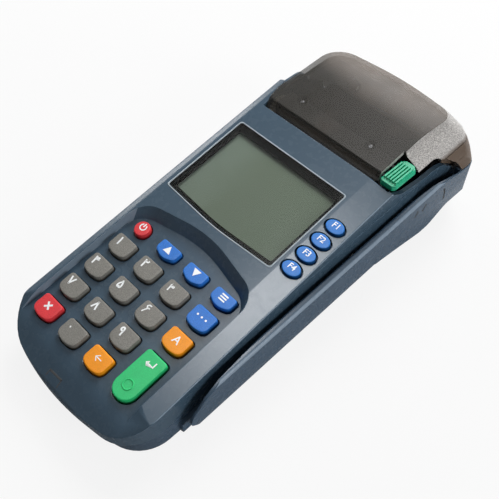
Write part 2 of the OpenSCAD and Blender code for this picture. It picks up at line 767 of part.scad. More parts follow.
// The base's outer block or its cavity, cut at the parting line
module base_block(d, low) {
    intersection() {
        translate([0, 0, low]) linear_extrude(tall) polygon(base_plan(d));
        along_x(-body_w, body_w) polygon([
            [-body_l, 0], [body_l, 0],
            [body_l, seam_at(body_l) - seam_gap + d * 10], [-body_l, seam_at(-body_l) - seam_gap + d * 10]]);
    }
}

// Flared mouth of the chip-card slot through the base's front wall
card_z = seam_at(y_front) - card_mouth_h;
module card_mouth() {
    slab([-card_x - card_w / 2, base_front_y - 5, card_z], [-card_x + card_w / 2, base_front_y + 7, tall]);
}

module door_cut(g, z0, z1) {
    translate([door_c.x, door_c.y, z0]) linear_extrude(z1 - z0)
        square([door_w + 2 * g, door_l + 2 * g], center = true);
}

module screw_hole() {
    cylinder(d = screw_d + 0.6, h = tall);
    cylinder(d = screw_head_d + 0.6, h = base_z + screw_head_in + screw_head_h);
}
screw_head_d = 5;
screw_head_h = 1.6;
screw_head_in = 2;

module base_posts() {
    for (s = SCREW_SPOTS) translate([s.x, s.y, base_z]) cylinder(r = post_r + 0.4, h = screw_join_z - base_z);
    for (p = BOARD_POSTS)
        translate([p.x, p.y, base_z + 1]) cylinder(d = 5, h = base_floor_z - base_z - 1 + board_rise);
    for (p = FRAME_POSTS) translate([p.x, p.y, base_z + 1]) cylinder(d = 5, h = frame_foot_z - base_z - 1);
    for (p = BUCKET_POSTS) translate([p.x, p.y, base_z + 1]) cylinder(d = 5, h = bucket_post_top - base_z - 1);
    translate([speaker_c.x, speaker_c.y, base_z + 1]) difference() {
        cylinder(d = speaker_d + 2.6, h = 4);
        translate([0, 0, 1]) cylinder(d = speaker_d + 0.4, h = 4);
    }
    for (x = reader_side_x) for (y = [11.7, 37.7])
        translate([x, base_front_y + y, base_z + 1]) cylinder(d = 4, h = reader_z - base_z - 1);
}
bucket_post_top = bucket_low;
reader_z = card_z - 3;
reader_side_x = [-card_x - 24, -card_x + 24];

// Rings of the cover's outer skin: height, left and right edge at the front and at the rear, rear wall
COVER_LEVELS = [
    [hinge_z - 10, 0, 0, 0, 0, 0],
    [hinge_z, 0.4, 0.5, 0.9, 0.3, 0.1],
    [hinge_z + 6, 0.8, 1.2, 2, 2.8, 0.6],
    [hinge_z + 10, 1, 2, 3.2, 4.8, 1.4],
    [hinge_z + 14, 1.6, 3.4, 5.6, 7, 2.8],
    [hinge_z + 18.4, 4.6, 5.8, 15.6, 10, 5.6],
    [hinge_z + 22, 7, 7.4, 17.4, 12.4, 8.6],
    [hinge_z + 27, 9, 9, 18, 14, 13]];
function cover_ring(s, d) = [for (p = rounded([
    [x_left + s[1] + d, deck_end_y - 6, 0],
    [x_rail - 0.2 - s[3] - d, deck_end_y - 6, 0],
    [x_rail - 0.2 - s[4] - d, rear_at(x_rail) - s[5] - d, rail_corner_r - 1 - d],
    [0, rear_tip_y - s[5] - d, rear_bow_r],
    [x_left + s[2] + d, rear_at(x_left) - s[5] - d, rear_corner_r - d]], 7))
    [p.x, p.y, s[0]]];
crown_y = y_rear - 21.9;
function cover_profile(d) = rounded([
    [cover_front_y - 3 + d * 1.1, cover_edge_z - 5.1, 0],
    [cover_front_y + cover_front_run + d * 0.6, cover_front_z - d, 0.8],
    [crown_y, cover_crown_z - d, 80],
    [y_rear + 8, cover_crown_z - 4 - d, 0],
    [y_rear + 8, hinge_z - 12, 0],
    [cover_front_y - 3 + d * 1.1, hinge_z - 12, 0]], 10);
module cover_form(d) {
    difference() {
        intersection() {
            loft([for (s = COVER_LEVELS) cover_ring(s, d)]);
            along_x(-body_w, body_w) polygon(cover_profile(d));
        }
        rail_channel(d);
    }
}

// Room for the card to leave the swipe slot beside the cover, and for the rail's end below its skirt
module rail_channel(d) {
    along_x(x_right - 0.1 - d, far) polygon(rounded([
        [0, 0, 0],
        [far, 0, 0],
        [far, hinge_z + d, 0],
        [rail_end + 0.8 + d, hinge_z + d, 0],
        [rail_end - 2 + d, 35 + d, 10],
        [rail_end - 10 + d / 2, 41.4 + d, 12],
        [rail_end - 25, 45.6 + d, 16],
        [0, 48 + d, 0]], 6));
}

// Places across the printer, from the gears at its left to the end plate at its right
gear_t = 2;
end_t = 1.5;
gear_x0 = neck_left + move_gap;
end_left = gear_x0 + gear_t + move_gap;
end_in = end_left + end_t;
platen_x0 = end_in + move_gap;
platen_x1 = platen_x0 + platen_l;
end_out = platen_x1 + move_gap;
end_right = end_out + end_t;
BOSS_SPOTS = [cover_x - 21, cover_x + 19];
boss_y = platen_at + 4.8;
knuckle_w = 3;
knuckle_gap = 0.4;
roll_gap = 1.5;
bucket_left = platen_x0 - roll_gap - bucket_t;
bucket_right = platen_x1 + roll_gap + bucket_t;
hinge_left = cover_x - hinge_span / 2;
hinge_right = cover_x + hinge_span / 2;
hinge_ear_r = hinge_pin_d / 2 + 1.4;
HINGE_EARS = [hinge_left, hinge_right - bucket_t];
KNUCKLES = [[hinge_left - knuckle_gap - knuckle_w, hinge_left - knuckle_gap],
    [hinge_right + knuckle_gap, hinge_right + knuckle_gap + knuckle_w]];
holder_top = platen_z + 6.4;

module printer_cover() {
    color("#5b554d") difference() {
        union() {
            intersection() {
                difference() {
                    cover_form(0);
                    cover_form(cover_t);
                }
                linear_extrude(tall) polygon(cover_plan());
                along_x(-far, far) polygon(cover_edge(cover_front_y, 0));
            }
            intersection() {
                for (x = BOSS_SPOTS) translate([x, boss_y, holder_top]) cylinder(d = 5.2, h = 10);
                cover_form(cover_t / 2);
            }
            for (k = KNUCKLES) {
                rod_x(k[0], k[1], hinge_y, hinge_z, hinge_pin_d + 4.4);
                slab([k[0], hinge_y, hinge_z - 3], [k[1], rear_at(k[0]) - 0.8, hinge_z + 3]);
            }
        }
        for (k = KNUCKLES) rod_x(k[0] - 0.2, k[1] + 0.2, hinge_y, hinge_z, hinge_pin_d + 2 * run_gap);
        for (x = HINGE_EARS)
            rod_x(x - knuckle_gap, x + bucket_t + knuckle_gap, hinge_y, hinge_z,
                2 * (hinge_ear_r + knuckle_gap));
        for (x = BOSS_SPOTS)
            translate([x, boss_y, 0]) cylinder(d = boss_screw_d + 2 * run_gap, h = holder_top + 1.4);
    }
}
boss_screw_d = 1.8;

module cover_hinge_pins() {
    color("#c8ccd0") {
        rod_x(KNUCKLES[0][0], hinge_left + bucket_t, hinge_y, hinge_z, hinge_pin_d);
        rod_x(hinge_right - bucket_t, KNUCKLES[1][1], hinge_y, hinge_z, hinge_pin_d);
    }
}

// Bracket under the cover that carries the platen, with ears for the latch pin
holder_t = 1.5;
shaft_d = 4;
bearing_d = shaft_d + 2.8;
latch_x0 = neck_right + latch_gap;
latch_x1 = latch_x0 + latch_w;
latch_y0 = deck_end_y + 1.4;
latch_y1 = latch_y0 + latch_l;
latch_pin_x = latch_x0 + 3.4;
latch_pin_z = 45.2;
latch_pin_d = 2;
ear_t = 1.6;
ear_d = latch_pin_d + 1.2;
ear_in = 3.8;
EAR_Y = [latch_y0 + ear_in, latch_y1 - ear_in - ear_t];

module platen_holder() {
    color("#2b2b2d") difference() {
        union() {
            slab([end_left, platen_at - 3, holder_top - holder_t], [end_right, platen_at + 7, holder_top]);
            for (x = [end_left, end_out]) {
                slab([x, platen_at - bearing_d / 2, platen_z],
                    [x + end_t, platen_at + bearing_d / 2, holder_top]);
                rod_x(x, x + end_t, platen_at, platen_z, bearing_d);
            }
            slab([end_out, EAR_Y[0], latch_pin_z - ear_d / 2],
                [end_right, EAR_Y[1] + ear_t, latch_pin_z + 0.2]);
            for (y = EAR_Y) {
                slab([end_out, y, latch_pin_z - ear_d / 2], [latch_pin_x, y + ear_t, latch_pin_z + 0.2]);
                rod_y(latch_pin_x, latch_pin_z, y, y + ear_t, ear_d);
            }
        }
        rod_x(end_left - 1, end_right + 1, platen_at, platen_z, shaft_d + 2 * run_gap);
        for (x = BOSS_SPOTS) translate([x, boss_y, 0]) cylinder(d = boss_screw_d + 2 * run_gap, h = tall);
        rod_y(latch_pin_x, latch_pin_z, 0, far, latch_pin_d + 2 * run_gap);
    }
}

module cover_screws() {
    color("#9a9da2") for (x = BOSS_SPOTS) translate([x, boss_y, 0]) {
        translate([0, 0, holder_top - holder_t - 1.2]) cylinder(d = 3.6, h = 1.2);
        translate([0, 0, holder_top - holder_t - 0.2]) cylinder(d = boss_screw_d, h = holder_t + 1.2);
    }
}

// Green lever: ribbed top with cut corners, turned on a pin along Y, with a hook below
latch_top = 48.3;
latch_low = latch_pin_z - 1;
rib_h = 0.9;
rib_margin = 0.8;
hook_y = latch_y0 + latch_l / 2;
hook_w = 4;
hook_z = 38;
nose_t = 1.4;
hook_x0 = latch_pin_x - 2.4;
function latch_plan() = [
    [latch_x0, latch_y0 + 1.6], [latch_x0 + 1.6, latch_y0], [latch_x1 - 1.6, latch_y0],
    [latch_x1, latch_y0 + 1.6], [latch_x1, latch_y1 - 2.2], [latch_x1 - 2.2, latch_y1],
    [latch_x0 + 2.2, latch_y1], [latch_x0, latch_y1 - 2.2]];
module cover_latch() {
    rib_pitch = (latch_w - 2 * rib_margin) / latch_ribs;
    hook_y0 = hook_y - hook_w / 2;
    hook_y1 = hook_y + hook_w / 2;
    color("#2fa57f") difference() {
        union() {
            intersection() {
                linear_extrude(tall) polygon(latch_plan());
                along_y(latch_y0 - 1, latch_y1 + 1) polygon(rounded([
                    [latch_x0, latch_low, 0.4], [latch_x1, latch_low + 0.8, 1.2],
                    [latch_x1, latch_top - rib_h, 1.2], [latch_x0, latch_top - rib_h, 1.6]], 5));
            }
            for (i = [0:latch_ribs - 1])
                slab([latch_x0 + rib_margin + (i + 0.2) * rib_pitch, latch_y0 + 1.8, latch_top - 1],
                    [latch_x0 + rib_margin + (i + 0.8) * rib_pitch, latch_y1 - 2.4, latch_top]);
            rod_y(latch_pin_x, latch_pin_z, hook_y0, hook_y1, ear_d);
            slab([latch_pin_x - 1.2, hook_y0, hook_z], [latch_pin_x + 0.6, hook_y1, latch_pin_z]);
            slab([hook_x0, hook_y0, hook_z], [latch_pin_x, hook_y1, hook_z + nose_t]);
        }
        for (y = EAR_Y) slab([latch_x0 - 1, y - 0.4, latch_low - 1],
            [latch_pin_x + ear_d / 2 + 0.4, y + ear_t + 0.4, latch_pin_z + ear_d / 2 + move_gap]);
        rod_y(latch_pin_x, latch_pin_z, EAR_Y[0] - 0.4, latch_y1 + 1, latch_pin_d + 2 * run_gap);
    }
}

module latch_pin() {
    color("#c8ccd0") rod_y(latch_pin_x, latch_pin_z, EAR_Y[0], EAR_Y[1] + ear_t, latch_pin_d);
}

// Gears in line at the left of the printer: platen over drive gear over motor pinion
platen_teeth = 24;
drive_teeth = 30;
pinion_teeth = 12;
mesh_gap = 0.12;
platen_mesh_a = 75;
pinion_mesh_a = 206;
drive_yz = [platen_at, platen_z] - mesh_r(platen_teeth, drive_teeth) * [cos(platen_mesh_a), sin(platen_mesh_a)];
pinion_yz = drive_yz + mesh_r(pinion_teeth, drive_teeth) * [cos(pinion_mesh_a), sin(pinion_mesh_a)];
function mesh_r(a, b) = gear_m * (a + b) / 2 + mesh_gap;
function gear_outline(teeth, phase) =
    let (r = gear_m * teeth / 2)
    let (step = 360 / teeth)
    [for (i = [0:teeth - 1])
        for (t = [[-0.34, -1.2], [-0.23, -0.1], [-0.1, 0.8], [0.1, 0.8], [0.23, -0.1], [0.34, -1.2]])
        (r + t[1] * gear_m) * [cos(phase + (i + t[0]) * step), sin(phase + (i + t[0]) * step)]];
module gear(yz, teeth, phase) {
    translate([gear_x0, yz.x, yz.y]) rotate([90, 0, 90])
        linear_extrude(gear_t) polygon(gear_outline(teeth, phase));
}

module platen_roller() {
    color("#b9ad97") rod_x(platen_x0, platen_x1, platen_at, platen_z, platen_d);
    color("#c8ccd0") rod_x(gear_x0, end_right, platen_at, platen_z, shaft_d);
}
module platen_gear() {
    color("#e6e2d6") difference() {
        gear([platen_at, platen_z], platen_teeth, platen_mesh_a + 180 + 180 / platen_teeth);
        rod_x(gear_x0 - 1, gear_x0 + gear_t + 1, platen_at, platen_z, shaft_d + 2 * run_gap);
    }
}
module drive_gear() {
    color("#e6e2d6") difference() {
        gear(drive_yz, drive_teeth, platen_mesh_a);
        rod_x(gear_x0 - 1, gear_x0 + gear_t + 1, drive_yz.x, drive_yz.y, stud_d + 2 * run_gap);
    }
}
stud_d = 3;
motor_shaft_d = 2;
drive_step = 360 / drive_teeth;
pinion_phase = pinion_mesh_a + 180 + 180 / pinion_teeth
    + ((pinion_mesh_a - platen_mesh_a) % drive_step) * drive_teeth / pinion_teeth;
module motor_pinion() {
    color("#c9a85a") union() {
        gear(pinion_yz, pinion_teeth, pinion_phase);
        rod_x(gear_x0, motor_x0 + 6, pinion_yz.x, pinion_yz.y, motor_shaft_d);
    }
}
frame_t = 1;
frame_left = end_left;
frame_right = end_right - frame_t;
motor_x0 = frame_left + frame_t;
motor_d = 15;
motor_l = 15;
module stepper_motor() {
    color("#8d9196") difference() {
        rod_x(motor_x0, motor_x0 + motor_l, pinion_yz.x, pinion_yz.y, motor_d);
        rod_x(motor_x0 - 1, motor_x0 + 6.3, pinion_yz.x, pinion_yz.y, motor_shaft_d + 2 * run_gap);
    }
}

// Folded sheet chassis: two side plates, a foot, a bar for the head and a catch for the latch's hook
frame_y0 = pinion_yz.x - motor_d / 2 - 1;
frame_y1 = platen_at + 2;
frame_top = platen_z - 4.4;
head_bar_t = 2.4;
head_y0 = platen_at - platen_d / 2 - move_gap - head_bar_t;
head_low = frame_top - 5;
catch_x1 = hook_x0 - 0.4;
catch_z = hook_z + nose_t + 0.4;
module printer_frame() {
    catch_y0 = hook_y - hook_w / 2;
    catch_y1 = hook_y + hook_w / 2;
    color("#a9adb3") difference() {
        union() {
            for (x = [frame_left, frame_right])
                slab([x, frame_y0, frame_foot_z], [x + frame_t, frame_y1, frame_top]);
            slab([frame_left, frame_y0, frame_foot_z], [end_right, frame_y0 + 9, frame_foot_z + frame_t]);
            slab([frame_left, head_y0 - frame_t, head_low], [end_right, head_y0, frame_top]);
            rod_x(gear_x0 - 0.4, frame_left + 0.5, drive_yz.x, drive_yz.y, stud_d);
            slab([frame_right, catch_y0, frame_top - 2], [catch_x1 - 0.7, catch_y1, frame_top]);
            slab([catch_x1 - 1.7, catch_y0, frame_top - 2], [catch_x1 - 0.7, catch_y1, catch_z + 1]);
            slab([catch_x1 - 1.7, catch_y0, catch_z], [catch_x1, catch_y1, catch_z + 1]);
        }
        rod_x(frame_left - 1, frame_left + frame_t + 1, pinion_yz.x, pinion_yz.y, motor_shaft_d + 1.4);
        rod_x(motor_x0, motor_x0 + motor_l + 0.4, pinion_yz.x, pinion_yz.y, motor_d + 0.4);
    }
}
module print_head() {
    color("#3a3d42") slab(
        [end_in + 1.2, head_y0, head_low], [end_out - 1.2, head_y0 + head_bar_t, platen_z + 3]);
}

// Toothed strip on the deck's rear edge
tooth_n = 38;
tear_t = 0.5;
module tear_bar() {
    x0 = platen_x0;
    pitch = platen_l / tooth_n;
    top = deck_at(deck_end_y) - 0.4;
    low = top - 3.2;
    teeth = [for (i = [0:tooth_n - 1]) each [[x0 + i * pitch, top - 0.8], [x0 + (i + 0.5) * pitch, top]]];
    color("#c8ccd0") along_y(deck_end_y, deck_end_y + tear_t)
        polygon(concat([[x0, low]], teeth, [[x0 + platen_l, top - 0.8], [x0 + platen_l, low]]));
}

// Open trough for the paper roll, with the hinge ears at its rear wall
bucket_front = platen_at + 5.3;
arm_low = 1.6;
module paper_bucket() {
    color("#34363a") difference() {
        union() {
            intersection() {
                rod_x(bucket_left, bucket_right, bucket_y, bucket_z, 2 * (bucket_r + bucket_t));
                slab([-far, bucket_front, 0], [far, far, hinge_z + hinge_ear_r]);
            }
            for (x = HINGE_EARS) {
                slab([x, bucket_y + bucket_r - 1, hinge_z - arm_low],
                    [x + bucket_t, hinge_y, hinge_z + hinge_ear_r]);
                rod_x(x, x + bucket_t, hinge_y, hinge_z, 2 * hinge_ear_r);
            }
        }
        rod_x(bucket_left + bucket_t, bucket_right - bucket_t, bucket_y, bucket_z, 2 * bucket_r);
        rod_x(-far, far, hinge_y, hinge_z, hinge_pin_d + 2 * run_gap);
    }
}

// Window, black border and display panel
module display_lens() {
    color("#9aa08f", 0.4) on_lens(-lens_t) linear_extrude(lens_t) polygon(lens_plan(0));
}
module display_gasket() {
    color("#15171a") on_lens(-lens_seat) linear_extrude(gasket_t) difference() {
        polygon(lens_plan(0));
        polygon(view_plan());
    }
}
module lcd_panel() {
    color("#6e7669") on_lens(-lcd_w - lcd_t) linear_extrude(lcd_t) polygon(lens_plan(lens_ledge - 0.9));
}
module lcd_bracket() {
    color("#d9d9d2") on_lens(-lcd_w - lcd_t - 1.6) linear_extrude(1.6) polygon(lens_plan(-1.2));
}

// Keypad keys
module key_power() { color("#d8434a") key(0, 0, "power"); }
module key_up() { color("#3478cc") key(1, 0, "arrow"); }
module key_down() { color("#3478cc") key(2, 0, "arrow"); }
module key_menu() { color("#3478cc") key(3, 0, "arrow"); }
module key_function() { color("#3478cc") key(3, 1, "digit"); }
module key_alpha() { color("#f59a22") key(3, 2, "digit"); }
module digit(c, r) { color("#7d7b76") key(c, r, "digit"); }
module key_1() { digit(0, 1); }
module key_2() { digit(1, 1); }
module key_3() { digit(2, 1); }
module key_4() { digit(0, 2); }
module key_5() { digit(1, 2); }
module key_6() { digit(2, 2); }
module key_7() { digit(0, 3); }
module key_8() { digit(1, 3); }
module key_9() { digit(2, 3); }
module key_0() { digit(1, 4); }
module key_cancel() { color("#d8434a") key(0, 4, "digit"); }
module key_clear() { color("#f59a22") key(2, 4, "digit"); }
module key_enter() {
    color("#37c37d") on_keypad() translate([col_x(3), enter_v, 0]) key_cap("enter", floor_t, key_h, flange_w);
}
module key_f1() { oval_key(0); }
module key_f2() { oval_key(1); }
module key_f3() { oval_key(2); }
module key_f4() { oval_key(3); }

// Sheets under the keypad
sheet_w = 3 * key_pitch_x + key_w + 1.4;
sheet_v0 = -front_row_v - key_l / 2 - 1.5;
sheet_v1 = row_v(0) + arrow_l / 2 + 1.5;
module sheet(w, t) {
    on_keypad() translate([-keypad_x - sheet_w / 2, sheet_v0, w - t]) cube([sheet_w, sheet_v1 - sheet_v0, t]);
}
module keypad_membrane() {
    color("#d0d2d0") {
        sheet(-membrane_w, membrane_t);
        on_keypad() for (k = KEY_SPOTS)
            translate([col_x(k[0]), k[1], -membrane_w - membrane_t / 2])
                cylinder(d = 5, h = membrane_t / 2 + dome_h);
    }
}
module keypad_board() {
    color("#2c6b45") sheet(-membrane_w - membrane_t, board_t);
}
module function_board() {
    color("#2c6b45") on_deck() translate([oval_x - 4.2, oval_y - function_l / 2, -function_w - board_t])
        cube([8.4, function_l, board_t]);
}

// Main board on its posts, cut round the taller posts
board_z = base_floor_z + board_rise;
board_x = x_right - 20;
module main_board() {
    color("#2c6b45") difference() {
        slab([x_left + 6, -40, board_z], [board_x, y_rear - 8, board_z + board_t]);
        for (p = concat(FRAME_POSTS, BUCKET_POSTS)) translate([p.x, p.y, 0]) cylinder(d = 6.4, h = tall);
        for (s = SCREW_SPOTS) translate([s.x, s.y, 0]) cylinder(r = post_r + 1, h = tall);
    }
    color("#2c6b45")
        slab([board_x - 0.1, deck_end_y + 7.3, board_z], [x_right - 8, y_rear - 8, board_z + board_t]);
}
module coin_cell() {
    color("#c8ccd0") translate([-18, -18, socket_z]) cylinder(d = 20, h = 3.2);
}
module speaker() {
    color("#3a3d42") translate([speaker_c.x, speaker_c.y, base_z + 2]) cylinder(d = speaker_d, h = 4);
}
// Card reader: two rails and a roof round a flat gap for the card
reader_l = 50;
reader_h = 6;
reader_side = 1.1;
card_room = 1.2;
module chip_reader() {
    color("#26282b") difference() {
        slab([-card_x - card_w / 2, base_front_y + 7, reader_z],
            [-card_x + card_w / 2, base_front_y + reader_l, reader_z + reader_h]);
        slab([-card_x - card_w / 2 + reader_side, base_front_y, reader_z + reader_h / 2],
            [-card_x + card_w / 2 - reader_side, base_front_y + reader_l - 3,
                reader_z + reader_h / 2 + card_room]);
    }
}
module mag_head() {
    color("#8d9196") on_rail() {
        slab([x_right - wall - 5.2, head_y - head_w / 2, -head_drop - head_h / 2],
            [x_right - 0.6, head_y + head_w / 2, -head_drop + head_h / 2]);
        translate([x_right - 2, head_y, -head_drop - head_h / 2 + 1.5]) cylinder(d = 4.6, h = head_h - 3);
    }
}
module mag_head_spring() {
    color("#c8ccd0") on_rail() slab(
        [x_right - wall - 6.4, HEAD_POSTS[0] - 1, -head_drop - 2],
        [x_right - wall - 6, HEAD_POSTS[1] + 1, -head_drop + 2]);
}

// Sockets on the main board, open at the rear
module socket(s, mouth_w, mouth_h) {
    difference() {
        slab([s[0] - s[1] / 2, socket_face_y - socket_l, socket_z],
            [s[0] + s[1] / 2, socket_face_y, socket_z + s[2]]);
        slab([s[0] - mouth_w / 2, socket_face_y - socket_l + 2, socket_z + (s[2] - mouth_h) / 2],
            [s[0] + mouth_w / 2, far, socket_z + (s[2] + mouth_h) / 2]);
    }
}
module power_jack() {
    color("#1d1e20") difference() {
        slab([POWER[0] - POWER[1] / 2, socket_face_y - socket_l, socket_z],
            [POWER[0] + POWER[1] / 2, socket_face_y, socket_z + POWER[2]]);
        translate([POWER[0], socket_face_y - socket_l + 3, socket_z + POWER[2] / 2]) rotate([-90, 0, 0])
            difference() {
                cylinder(d = 6.4, h = socket_l);
                cylinder(d = 2, h = socket_l - 4.5);
            }
    }
}
module line_jack() { color("#d8d4c6") socket(LINE, 8.4, 7); }
module network_jack() { color("#b9bdc2") socket(NETWORK, 11.8, 8); }
module serial_jack() { color("#26282b") socket(SERIAL, 8.4, 7); }

// Underside
module sam_door() {
    color("#7a8498") door_cut(0, base_z, base_z + door_t - 0.1);
}
module rubber_feet() {
    color("#26282b") for (f = FEET) translate([f.x, f.y, 0]) cylinder(d = foot_d, h = foot_h + 0.8);
}
module case_screws() {
    color("#9a9da2") for (s = SCREW_SPOTS) translate([s.x, s.y, base_z + screw_head_in]) {
        cylinder(d = screw_head_d, h = screw_head_h);
        translate([0, 0, screw_head_h / 2])
            cylinder(d = screw_d, h = screw_join_z + 5 - base_z - screw_head_in);
    }
}

top_housing();
base_housing();
printer_cover();
cover_hinge_pins();
platen_holder();
cover_screws();
cover_latch();
latch_pin();
platen_roller();
platen_gear();
drive_gear();
motor_pinion();
stepper_motor();
printer_frame();
print_head();
tear_bar();
paper_bucket();
display_lens();
display_gasket();
lcd_panel();
lcd_bracket();
key_power();
key_up();
key_down();
key_menu();
key_function();
key_alpha();
key_1();
key_2();
key_3();
key_4();
key_5();
key_6();
key_7();
key_8();
key_9();
key_0();
key_cancel();
key_clear();
key_enter();
key_f1();
key_f2();
key_f3();
key_f4();
keypad_membrane();
keypad_board();
function_board();
main_board();
coin_cell();
speaker();
chip_reader();
mag_head();
mag_head_spring();
power_jack();
line_jack();
network_jack();
serial_jack();
sam_door();
rubber_feet();
case_screws();
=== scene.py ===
"""Looks of a counter payment terminal, built around its packed construction model."""
import json
import logging
import math
from abc import ABC, abstractmethod
from dataclasses import dataclass
from enum import Enum
from functools import cache
from typing import Iterable

import bmesh
import bpy
from mathutils import Color, Matrix, Vector
from mathutils.bvhtree import BVHTree

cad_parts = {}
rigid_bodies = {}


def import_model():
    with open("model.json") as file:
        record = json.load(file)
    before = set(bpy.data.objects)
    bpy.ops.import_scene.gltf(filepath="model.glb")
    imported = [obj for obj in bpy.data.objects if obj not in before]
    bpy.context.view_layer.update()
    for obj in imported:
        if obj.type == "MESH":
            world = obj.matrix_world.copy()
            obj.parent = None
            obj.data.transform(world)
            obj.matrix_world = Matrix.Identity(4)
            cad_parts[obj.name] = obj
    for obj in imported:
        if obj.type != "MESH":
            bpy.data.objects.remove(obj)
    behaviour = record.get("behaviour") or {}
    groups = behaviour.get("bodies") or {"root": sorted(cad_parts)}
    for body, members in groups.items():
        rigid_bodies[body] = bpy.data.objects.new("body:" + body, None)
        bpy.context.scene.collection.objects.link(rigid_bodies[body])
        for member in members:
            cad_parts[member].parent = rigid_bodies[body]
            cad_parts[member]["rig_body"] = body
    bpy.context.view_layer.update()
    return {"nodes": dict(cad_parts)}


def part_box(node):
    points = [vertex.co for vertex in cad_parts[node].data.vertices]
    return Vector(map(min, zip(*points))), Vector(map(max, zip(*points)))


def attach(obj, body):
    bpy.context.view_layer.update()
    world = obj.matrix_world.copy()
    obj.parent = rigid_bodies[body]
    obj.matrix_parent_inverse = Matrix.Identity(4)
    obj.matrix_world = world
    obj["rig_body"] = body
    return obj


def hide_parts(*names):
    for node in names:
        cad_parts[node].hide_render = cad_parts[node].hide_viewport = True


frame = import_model()
LOG = logging.getLogger("terminal")

Socket = bpy.types.NodeSocket
Node = bpy.types.Node
Piece = bpy.types.Object
Material = bpy.types.Material
Shape = bmesh.types.BMesh
Rgba = tuple[float, float, float, float]
Triple = tuple[float, float, float]
Ends = tuple[float, float]
Stroke = tuple[Ends, Ends]
Pairs = tuple[tuple[str, str], ...]

MM = 0.001
KEYPAD_SLOPE = math.radians(8.4)
DECK_SLOPE = math.radians(9.6)
UP = Vector((0, 0, 1))

# Merging and shading of meshes
WELD = 0.002 * MM
FLAT = math.radians(0.05)
IMPORTED_NORMALS = "custom_normal"
NORMAL_WEIGHT = 80

# Numbers that meshes carry on their faces for the finishes
# Share of a painted highlight, on faces that turn to the right and on the keypad's left wall
PAINTED_HIGHLIGHT = "painted_highlight"
SLANT = "slant"

# Values that colours and node trees share
SCREEN_WHITE = 255
WHITE = (1.0, 1.0, 1.0, 1.0)
NOISE_ENDS = (0.3, 0.7)
EDGE_TURN = (1.0, 0.8)
EDGE_RAYS = 6
COLOUR_INPUTS = (6, 7)
COLOUR_OUTPUT = 2

# Signs: lengths in metres, ink in millimetres, letters in the font's own units
HOVER = 6 * MM
FAR = 160 * MM
INK_PROUD = 0.08
INK_DEPTH = 0.16
LETTER_STEPS = 4
LETTER_UP = 0.05
LETTER_WELD = 0.0005
LETTER_CUTS = 2
STROKE_STEPS = 6


@dataclass(frozen=True)
class Colour:
    """A colour given as screen values from 0 to 255."""

    red: float
    green: float
    blue: float

    def linear(self, gain: float = 1.0) -> Rgba:
        """Turn the colour into linear values for a shader, times a gain, with an alpha of 1."""
        screen = Color([value / SCREEN_WHITE for value in (self.red, self.green, self.blue)])
        return (*(screen.from_srgb_to_scene_linear() * gain), 1.0)


class Ray(Enum):
    """Kinds of light rays, as the light path node names them."""

    CAMERA = "Is Camera Ray"
    SHADOW = "Is Shadow Ray"
    DIFFUSE = "Is Diffuse Ray"
    GLOSSY = "Is Glossy Ray"
    TRANSMISSION = "Is Transmission Ray"


class Tree:
    """A node tree that grows node by node."""

    def __init__(self, tree: bpy.types.NodeTree) -> None:
        """Start with the tree emptied."""
        self.tree = tree
        self.tree.nodes.clear()

    def node(self, kind: str, **settings: object) -> Node:
        """Add a node.

        Args:
            kind: Type of the node.
            **settings: Properties to set on it.

        Returns:
            The new node.
        """
        made = self.tree.nodes.new(kind)
        for key, value in settings.items():
            setattr(made, key, value)
        return made

    def feed(self, target: Socket, value: object) -> None:
        """Link an output to an input, or set a plain value on it.

        Args:
            target: The input.
            value: An output of another node, or a plain value.
        """
        if isinstance(value, Socket):
            self.tree.links.new(value, target)
        else:
            target.default_value = value

    def fill(self, node: Node, **inputs: object) -> None:
        """Feed a node's inputs, named with underscores for spaces."""
        for name, value in inputs.items():
            self.feed(node.inputs[name.replace("_", " ")], value)

    def result(self, kind: str, output: str, **inputs: object) -> Socket:
        """Add a node and fill its inputs.

        Args:
            kind: Type of the node.
            output: Name of the output that is wanted.
            **inputs: What its inputs are fed, with underscores for spaces.

        Returns:
            The output.
        """
        made = self.node(kind)
        self.fill(made, **inputs)
        return made.outputs[output]

    def wire(self, kind: str, output: str, *inputs: object, **settings: object) -> Socket:
        """Add a node and feed its first inputs in order.

        Args:
            kind: Type of the node.
            output: Name of the output that is wanted.
            *inputs: What the inputs are fed.
            **settings: Properties to set on the node.

        Returns:
            The output.
        """
        made = self.node(kind, **settings)
        for target, value in zip(made.inputs, inputs):
            self.feed(target, value)
        return made.outputs[output]

    def join(self, how: str, *values: Socket | float) -> Socket:
        """Combine values by the operation that is named."""
        return self.wire("ShaderNodeMath", "Value", *values, operation=how)

    def blend(self, share: Socket, first: Socket, second: Socket) -> Socket:
        """Blend a share of the second shader into the first."""
        return self.wire("ShaderNodeMixShader", "Shader", share, first, second)

    def rays(self, first: Ray, *others: Ray) -> Socket:
        """Mark rays of some kinds.

        Args:
            first: A kind of ray.
            *others: Further kinds.

        Returns:
            1 for rays of any of these kinds, or else 0.
        """
        path = self.node("ShaderNodeLightPath").outputs
        marked = path[first.value]
        for other in others:
            marked = self.join("MAXIMUM", marked, path[other.value])
        return marked


